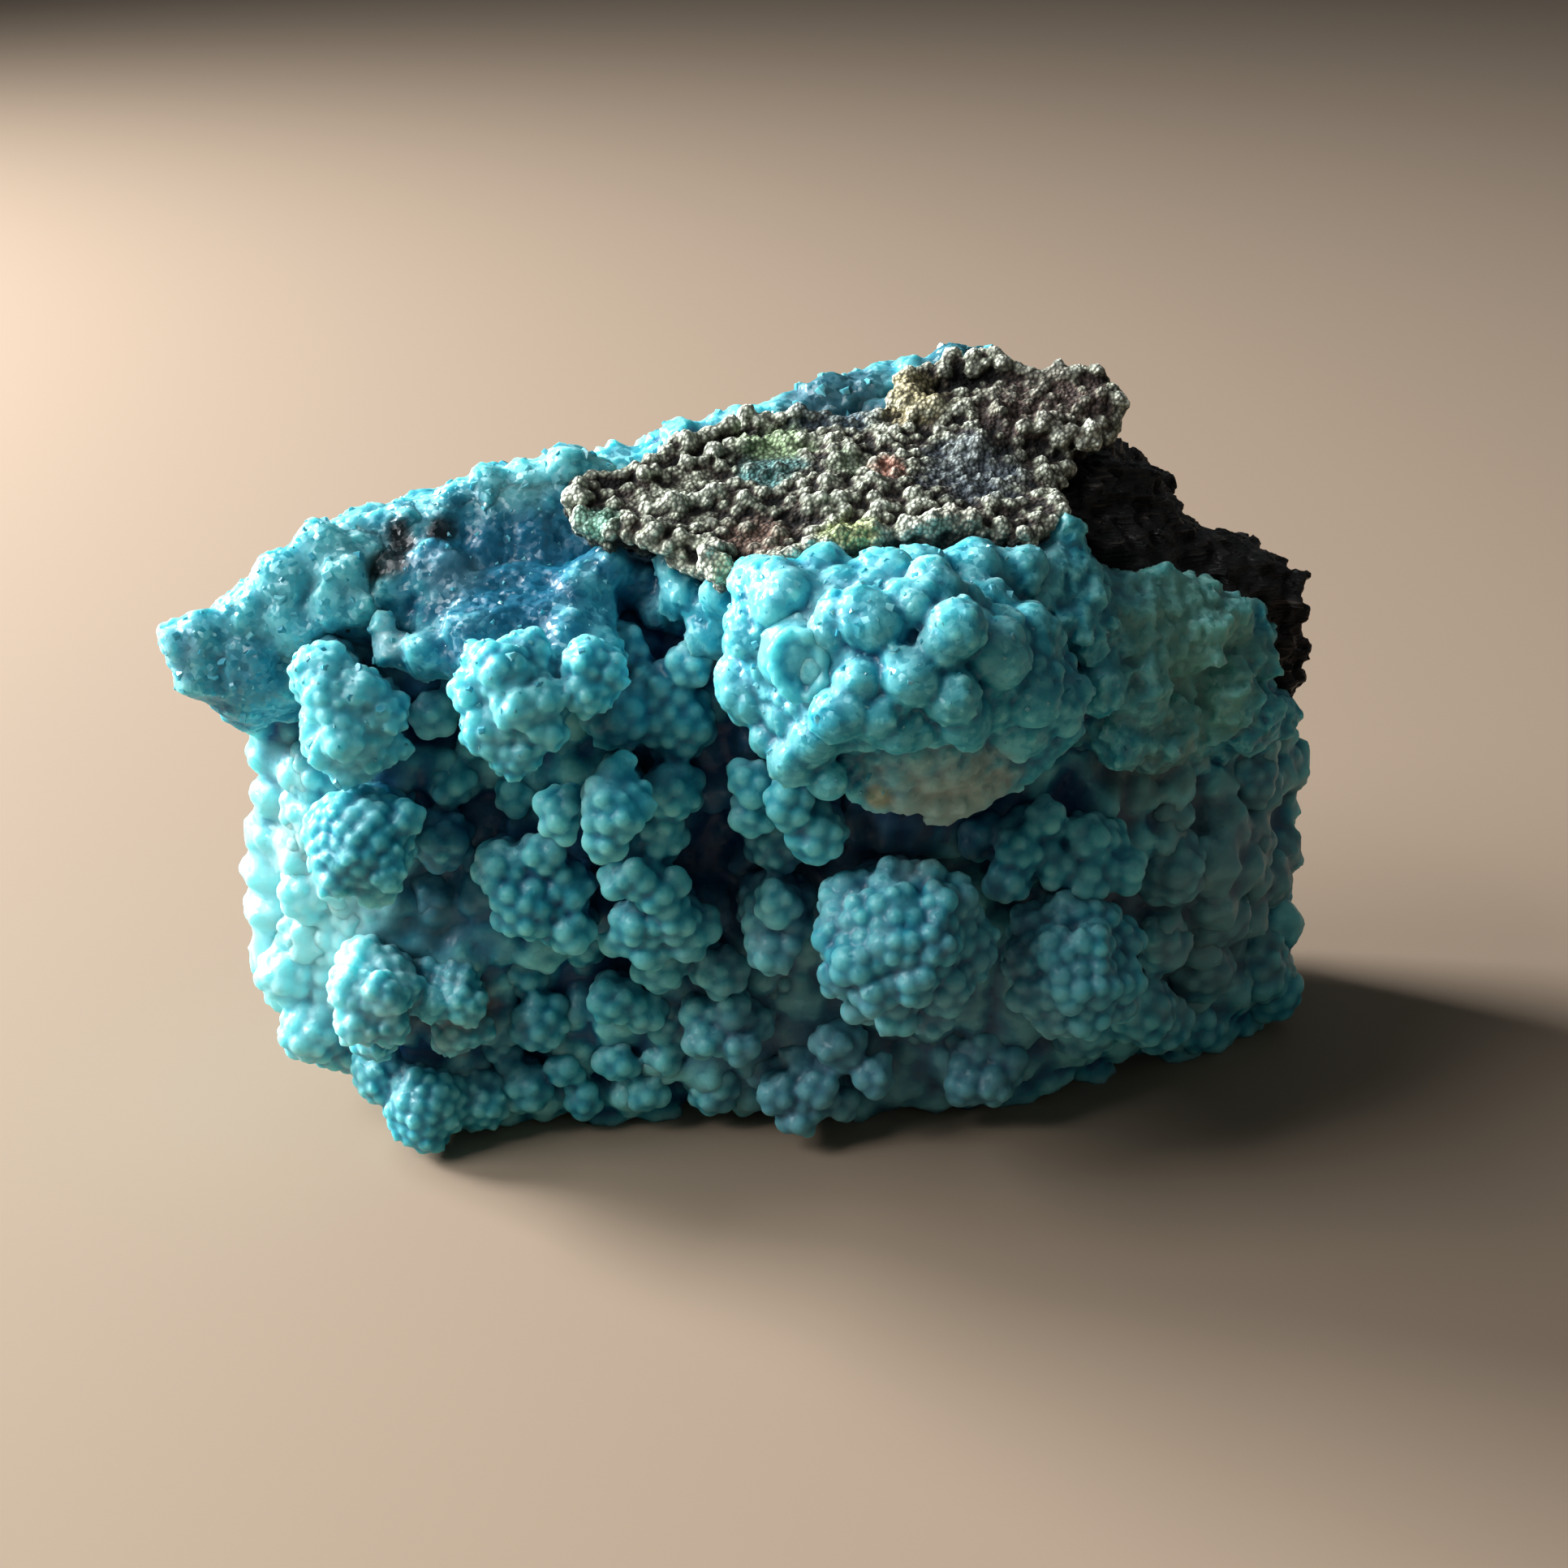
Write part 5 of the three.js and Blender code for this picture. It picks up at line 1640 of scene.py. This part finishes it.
    Growth("large_cauliflower", Habit.CAULIFLOWER, {}, {
        "core": (5.6, -10.8, 15.2, 3.7), "brow": (2.7, -11.4, 17.6, 1), "brow_high": (3.7, -11, 18.5, 0.8),
        "top": (5.3, -11.3, 18.9, 1), "top_right": (6.9, -11.3, 18.7, 0.95),
        "brow_right": (8.4, -11.4, 17.6, 1.1), "right": (9.5, -11, 15.7, 1),
        "left": (2.5, -12.7, 16.5, 0.95), "upper_left": (3.9, -13.1, 17.7, 0.95),
        "upper": (5.2, -13, 18.1, 1.2), "upper_right": (7.2, -12.7, 18, 1.1),
        "cheek_left": (3.7, -13.8, 16, 1.3), "front": (5.4, -14.2, 16.8, 1.15),
        "cheek_right": (7.2, -13.8, 16.8, 1.15), "far_right": (9.1, -12, 14.5, 1.1),
        "low_left": (2.7, -13.3, 14.5, 0.95), "low": (4.5, -14.3, 14.5, 1.1),
        "centre": (6.2, -14.5, 15, 1.15), "low_right": (8, -13.3, 13.9, 1.15),
        "bottom": (5.7, -13.8, 12.8, 0.95), "bottom_right": (7.4, -12.9, 12.1, 0.9),
        "bottom_left": (3.8, -13, 12.6, 0.8),
    }, wall=1.0),
    Growth("right_cauliflower", Habit.CAULIFLOWER, {}, {
        "core": (14.6, -8.1, 12.3, 2.9), "upper_left": (12.6, -8, 14.4, 1.05),
        "upper": (14.2, -8.2, 15.2, 1), "upper_right": (15.8, -8.2, 15, 1.05),
        "right": (17.3, -8, 13.6, 1), "left": (12.1, -9.5, 13.3, 1),
        "front_left": (13.6, -10.1, 14.2, 1.15), "front_right": (15.2, -10.2, 14.3, 1.15),
        "edge": (17.1, -9.7, 12.4, 1), "cheek_left": (12.6, -10.4, 11.9, 1.05),
        "centre": (14.2, -11, 12.8, 1.15), "cheek_right": (15.8, -10.8, 12.8, 1.05),
        "low_left": (13.7, -10.4, 10.5, 1), "low": (15.5, -10.6, 10.8, 1.05),
        "low_right": (17, -9.5, 10.7, 0.85),
    }, wall=1.0),
    Growth("brow_growth", Habit.GRAPE, {}, {
        "left": (11.9, -7.4, 18.5, 1.1), "left_low": (11.4, -7.8, 16.8, 1), "core": (12.6, -5.6, 18, 1.8),
        "right_core": (16, -5.4, 17.6, 1.8), "right": (15.5, -7.4, 16.9, 1.1),
        "top": (13.2, -6.4, 19.7, 1), "top_right": (15.4, -6.6, 18.7, 1.1), "far": (17.3, -6.6, 17, 1.1),
        "between": (13.7, -7.4, 17.4, 0.9), "back": (10.1, -5.2, 18.2, 1.2),
        "back_left": (4.6, -4, 20.6, 1.4), "back_middle": (7.6, -3, 21.4, 1.3),
    }, wall=1.0),
    Growth("right_growth", Habit.END, {}, {
        "upper": (20.7, -2.4, 14.8, 1.7), "middle": (20.3, -3, 10.6, 1.3), "foot": (19.4, -3.4, 6.8, 1.9),
        "end": (25.2, 2.8, 13.6, 1.9), "end_middle": (23.8, 1, 10.4, 1.8), "end_foot": (27, 5.2, 4.8, 2.4),
        "flank": (25, 3, 17.6, 1.8), "inner": (20.4, -1.4, 18, 1.2), "low": (23.4, 1.8, 6.6, 2),
        "low_inner": (16.5, -3, 5.4, 1.7), "edge_high": (27.3, 5.2, 10.4, 1.6), "base": (23.6, 2.6, 2.6, 1.8),
        "end_base": (28.6, 6, 2.6, 1.7), "knee": (21, -1.2, 4.4, 1.4),
    }, wall=4.0),
    Growth("lower_row", Habit.GRAPE, {}, {
        "first": (-13, -5, 6.8, 1.4), "second": (-9, -5.8, 8.8, 1.3), "second_side": (-7.4, -5.6, 8, 1),
        "large": (-3, -5.2, 7.1, 1.7), "large_left": (-4.4, -5.8, 8.1, 0.95),
        "large_top": (-2.8, -6.1, 8.5, 1), "large_right": (-1.4, -5.5, 7.2, 0.9),
        "large_low": (-4.1, -6.6, 6.8, 1), "large_front": (-2.4, -6.8, 6.6, 1),
        "foot_left": (-14.2, -4.8, 2.8, 1.4), "foot_first": (-11.8, -5, 4.1, 1),
        "foot_second": (-9, -5, 4.5, 1), "foot_third": (-6.5, -5, 4.8, 0.9), "foot_low": (-11, -5, 2.1, 1),
        "foot_lower": (-7.4, -5, 2.5, 1), "between": (-3.8, -4.4, 2.6, 1.5), "middle": (0.8, -5, 3.1, 1.8),
        "middle_left": (-0.9, -4.8, 3.8, 0.95), "middle_high": (0.8, -5.4, 4.5, 1),
        "middle_front": (-0.3, -6.7, 3.4, 1), "middle_near": (1.7, -6.6, 3.6, 1.1),
        "middle_right": (3, -5.8, 2.4, 0.95), "middle_low": (0.8, -6.9, 2.1, 0.95),
        "middle_top": (3, -5.6, 6, 1.3), "middle_top_left": (2.5, -6.4, 6.5, 1),
        "middle_side": (4.9, -6.6, 4.6, 1), "right": (11, -3.5, 3.1, 1.8),
        "right_left": (9.6, -3.9, 4, 0.95), "right_top": (11, -4.1, 4.7, 1),
        "right_far": (12.3, -4.4, 4, 0.95), "right_low": (9.9, -5, 3, 0.95),
        "right_front": (11.4, -5.2, 3, 1), "back": (7.6, -2, 5.6, 2.2),
        "inner_left": (-15.4, -4, 4.8, 1.1), "gap": (-6, -4.2, 6.6, 1.4),
        "gap_right": (0.4, -3.6, 8.6, 1.6), "upper_gap": (-10.6, -4, 11.6, 1.3),
        "upper_left": (-14, -3.8, 9.4, 1.2),
    }, wall=1.0),
    Growth("rear_growth", Habit.REAR, {}, {
        "summit": (9.4, 13, 36.8, 1.8), "rim_fall": (-11, 10, 31, 2.4), "high_left": (-18, 9.5, 28, 2.8),
        "high": (-10, 13, 25, 3), "high_right": (-2, 14, 28, 2.8), "left": (-23.5, 7.5, 22, 3),
        "middle_left": (-17.5, 11, 19, 3), "middle": (-9, 13.6, 17, 3.3), "low_left": (-22.5, 8.5, 11, 3.2),
        "low": (-14.5, 12.4, 9, 3.2), "low_middle": (-4.6, 13.8, 9.4, 3.2), "low_right": (4.6, 14, 12, 3),
        "foot_left": (-19, 8.5, 4, 2.8), "foot": (-9.6, 13.2, 3.6, 2.7), "foot_middle": (1, 14.2, 3.4, 2.7),
        "foot_right": (10, 14.2, 4.4, 2.7), "end_low": (18, 14, 8, 3), "end_foot": (24, 13.3, 4.5, 2.9),
        "end": (26, 12, 11, 2.7), "end_middle": (27.8, 9, 7, 2.2), "end_upper": (26, 9.5, 16, 2.4),
        "left_high": (-24.8, 2.8, 21, 2.2), "left_end": (-25.4, 3, 13, 2.4),
    }),
)

CRUST_COAT = Coat((Spherules(0.8, 0.3, 0.54, 0.3, 1.1, share=0.85),
                   Spherules(0.3, 0.1, 0.19, 0.1, share=0.85, detail=2)),
                  (0.3, 1.7), 1.0, 3.0, (0.02, 0.2), frost=0.0, voxel=0.125, smoothing=1, merging=1,
                  painted_shade_depth=0.55, first_voxel=0.2, crest_reach=60, crest_gain=1.8)
CRUST = Growth("granules", Habit.FINE, {
    "left_tongue": [
        (-10.4, -1.2, 34.5, 0.4), (-10, 0.4, 34.9, 0.4), (-9.6, -3.6, 34, 0.4), (-7, -4, 33.8, 0.5),
        (-4, -5, 33.8, 0.5), (-6.5, 2.2, 35.3, 0.4), (-2, 3, 35.6, 0.4),
    ],
    "front_lip": [
        (-5, -5.6, 33.2, 0.5), (-2.4, -7.6, 32.9, 0.5), (0.4, -7.2, 33.2, 0.5), (5, -5, 34.1, 0.5),
        (-4, -1, 34.8, 0.5), (6, 0, 35.5, 0.5),
    ],
    "right_lip": [
        (4, -5, 34.1, 0.5), (7.6, -4.4, 34.3, 0.5), (12.4, -4.4, 34.1, 0.5), (13.2, -1.6, 34.4, 0.5),
        (13.6, 1.4, 35.2, 0.5), (5, 1, 35.6, 0.5),
    ],
    "middle_sheet": [
        (-5.5, 4.6, 35.5, 0.4), (-3, -1, 34.8, 0.5), (-2, 6.4, 36.1, 0.4), (6, 6.4, 36.8, 0.5),
        (6, 0, 35.6, 0.5), (14, 2, 35.4, 0.5), (14.6, 4.6, 36.2, 0.5),
    ],
    "rear_corner": [
        (6.8, 6.4, 37.3, 0.5), (8.2, 8.4, 37.9, 0.5), (13, 8.2, 38.1, 0.5), (16, 7.4, 38.1, 0.5),
        (17.2, 6.2, 37.8, 0.5), (17, 5, 36.4, 0.6), (9, 2, 36.2, 0.5), (14.6, 4, 36.1, 0.6),
    ],
}, bands={
    "tongue_upper": Band(((-10.4, -1.6, 34.9), (-9.9, -0.1, 35.2), (-8.4, 0.8, 35.4), (-6.4, 1.8, 35.7),
                          (-4.4, 3.9, 36.2), (-2.4, 5.4, 36.5)), 0.5),
    "tongue_lower": Band(((-10, -3.6, 34.3), (-8.9, -3.8, 34.4), (-7.1, -4.6, 34.2), (-5.6, -5.6, 34),
                          (-4.1, -5.9, 34.1), (-2.7, -7, 33.8)), 0.6),
    "green_rim": Band(((-6.8, 0.3, 35.4), (-4.3, 1.8, 35.7), (-2, 3.2, 36.1), (0.4, 3.9, 36.3),
                       (2.7, 3.3, 36.2), (3.5, 1.5, 35.8), (4.5, 0.8, 35.7), (7.6, 1.3, 35.9)), 0.5),
    "belt": Band(((-6.6, -3.2, 34.6), (-5.2, -2.6, 34.8), (-3.4, -1.8, 35), (-1.6, -2.7, 34.8),
                  (0.4, -3.2, 34.7), (1.8, -2.5, 34.9), (4.6, -1.2, 35.3), (6.4, -1.7, 35.2),
                  (7.3, -3.5, 34.8)), 0.5),
    "belt_side": Band(((2.7, 3, 36.1), (2.4, 1.4, 35.7), (2.6, -0.4, 35.3), (2.2, -2, 35)), 0.55),
    "lip": Band(((-3.5, -7.4, 33.6), (-2.3, -8.3, 33.4), (-0.6, -8.3, 33.5), (0.6, -7.1, 33.8),
                 (2.1, -5.9, 34.1), (3.3, -5.8, 34.2), (5, -5.1, 34.4)), 0.6),
    "lip_right": Band(((5, -5.1, 34.4), (6.5, -4.9, 34.4), (8.2, -4.6, 34.6), (9.6, -4.9, 34.5)), 0.55),
    "lip_end": Band(((12, -5, 34.3), (13, -4.4, 34.4), (13.4, -3, 34.8), (13.6, -1.4, 35.2)), 0.45),
    "middle": Band(((-1.8, 6.6, 36.7), (0.9, 6.1, 36.8), (3.6, 5.7, 36.7), (6.2, 5, 36.6), (8.8, 4.4, 36.5),
                    (11, 4, 36.6)), 0.45),
    "corner_left": Band(((6.2, 6.7, 38), (7.4, 8.3, 38.5), (9, 8.9, 38.8), (11.2, 9, 38.9)), 0.6),
    "corner_front": Band(((6.2, 6.7, 38), (7.2, 5.2, 37.4), (8.8, 5.4, 37.5), (10.9, 4.6, 37.2),
                          (12.4, 3.7, 36.9), (13.9, 3.3, 36.8), (15.4, 2.9, 36.6), (16.5, 3.4, 36.8)), 0.6),
    "corner_rear": Band(((11.2, 9, 38.9), (12.7, 8, 38.5), (14.3, 7.8, 38.5), (16, 7.9, 38.6),
                         (17.4, 6.8, 38.2), (17.4, 5, 37.4)), 0.6),
})

ROCK_COAT = Coat((), (0.3, 2.6), 2.0, 4.0, (0.05, 0.4), (0.5, 1.1), frost=0.0, voxel=0.2, smoothing=1,
                 merging=1, beds=(0.62, 1.35), first_voxel=0.22)
ROCK = Growth("ledge", Habit.WALL, {
    "under_crust": [
        (13.6, -1.6, 31, 0.3), (13.4, -1, 32.8, 0.3), (15, 2.6, 34.4, 0.3), (17.6, 4.8, 35, 0.3),
        (18.8, 4.8, 34.2, 0.3), (21.2, 4.6, 31.4, 0.3), (20, 0.8, 30.4, 0.3), (16, -1.2, 30.2, 0.3),
        (11, 13.5, 35.5, 0.3), (17, 14, 35, 0.3), (21.5, 14.5, 31, 0.3), (12, 15.5, 30, 0.3),
    ],
    "lower_ledge": [
        (19.5, 0.8, 30, 0.3), (24, 2.6, 27.2, 0.3), (26.6, 3.8, 24.8, 0.3), (28.6, 6, 24.2, 0.3),
        (27.6, 5, 28.4, 0.3), (26.8, 5, 29.2, 0.3), (22, 5.2, 31, 0.3), (26, 13.5, 27.6, 0.3),
        (21, 15.5, 29, 0.3), (19, 15.5, 24, 0.3), (27, 12.5, 21, 0.3), (28, 6.5, 20.6, 0.3),
        (27.6, 4.6, 20.6, 0.3),
    ],
    "rear_slab": [
        (6, 15.2, 33, 0.3), (14, 16.2, 33.2, 0.3), (22, 15.8, 29, 0.3), (24.5, 15.3, 23, 0.3),
        (20, 16.5, 17, 0.3), (12, 16.7, 18, 0.3), (4, 16.2, 24, 0.3), (8, 11, 31, 0.3),
        (20, 11, 27, 0.3), (18, 12, 19, 0.3), (7, 12, 23, 0.3),
    ],
})


@dataclass(frozen=True)
class Lamp:
    """A soft square lamp.

    Attributes:
        name: Its name.
        place: Where it stands, in metres.
        size: Length of its side in metres.
        power: Its power in watts.
        colour: Its linear colour.
    """

    name: str
    place: tuple[float, float, float]
    size: float
    power: float
    colour: tuple[float, float, float] = (0.96, 0.98, 1.0)

    def build(self, target: Vector) -> None:
        """Hang the lamp.

        Args:
            target: What it looks at.
        """
        light = bpy.data.lights.new(self.name, "AREA")
        light.size = self.size
        light.energy = self.power
        light.color = self.colour
        lamp = bpy.data.objects.new(self.name, light)
        lamp.location = self.place
        lamp.rotation_euler = (target - Vector(self.place)).to_track_quat("-Z", "Y").to_euler()
        bpy.context.scene.collection.objects.link(lamp)


@dataclass(frozen=True)
class Studio:
    """The floor, the light and the camera, in metres."""

    floor_size: float = 6.0
    floor_colour: str = "#988470"
    floor_roughness: float = 0.9
    air_colour: tuple[float, float, float, float] = (0.88, 0.96, 1, 1)
    air_strength: float = 0.09
    lamps: tuple[Lamp, ...] = (
        Lamp("key_back_left", (-0.42, 0.17, 0.2), 0.18, 7.4),
        Lamp("soft_top_left", (-0.34, -0.1, 0.32), 0.22, 1.8),
    )
    lit_height: float = 0.018
    camera_place: tuple[float, float, float] = (0, -0.1045, 0.0674)
    camera_tilt: float = 65
    sensor_mm: float = 36.0
    lens_mm: float = 49.45
    nearest: float = 0.005

    def build(self) -> None:
        """Set up the whole studio."""
        self._floor()
        self._light()
        self._camera()

    def _floor(self) -> None:
        """Lay a matt floor."""
        bpy.ops.mesh.primitive_plane_add(size=self.floor_size)
        floor = bpy.context.active_object
        floor.name = "floor"
        paint = bpy.data.materials.new("pale matt floor")
        paint.use_nodes = True
        shader = paint.node_tree.nodes["Principled BSDF"]
        shader.inputs["Base Color"].default_value = linear(self.floor_colour)
        shader.inputs["Roughness"].default_value = self.floor_roughness
        floor.data.materials.append(paint)

    def _light(self) -> None:
        """Fill the air with faint light and hang the lamps."""
        world = bpy.data.worlds.new("studio")
        bpy.context.scene.world = world
        world.use_nodes = True
        air = world.node_tree.nodes["Background"]
        air.inputs["Color"].default_value = self.air_colour
        air.inputs["Strength"].default_value = self.air_strength
        for lamp in self.lamps:
            lamp.build(Vector((0, 0, self.lit_height)))

    def _camera(self) -> None:
        """Stand the camera up and look through it."""
        lens = bpy.data.cameras.new("camera")
        lens.sensor_width = self.sensor_mm
        lens.lens = self.lens_mm
        lens.clip_start = self.nearest
        camera = bpy.data.objects.new("camera", lens)
        camera.location = self.camera_place
        camera.rotation_euler = Euler((math.radians(self.camera_tilt), 0, 0))
        bpy.context.scene.collection.objects.link(camera)
        bpy.context.scene.camera = camera
        bpy.context.scene.view_settings.view_transform = "Standard"


def main() -> None:
    """Build the specimen and its stage."""
    logging.basicConfig(level=logging.INFO, format="%(relativeCreated)d %(message)s", stream=sys.stdout)
    Studio().build()
    shop = Workshop((*GROWTHS, CRUST, ROCK))
    gibbsite, crust, rock = GibbsiteFinish(), CrustFinish(), RockFinish()
    built = {finish: finish.build() for finish in (gibbsite, SHADED_BACK_FINISH, crust, rock)}
    crystals = crystal_tree(CrystalFinish().build())
    for order, growth in enumerate(GROWTHS):
        # The rear growth takes the darker copy, painted shade for the back.
        finish = SHADED_BACK_FINISH if growth.habit is Habit.REAR else gibbsite
        piece = shop.grow(f"gibbsite_{growth.name}", growth.seed_mesh(), growth.habit.value, built[finish],
                          finish.stains_and_painted_light, "gibbsite_mass", FIRST_SEED + order)
        if growth.name in DRUSES:
            shop.druse(piece, crystals, DRUSES[growth.name])
    shop.grow("crust_granules", CRUST.seed_mesh(), CRUST_COAT, built[crust], crust.stains_and_painted_light,
              "limonite_crust", CRUST_SEED)
    shop.grow("rock_ledge", ROCK.seed_mesh(), ROCK_COAT, built[rock], (),
              "host_rock_ledge", ROCK_SEED)
    shop.close()


if __name__ == "__main__":
    main()
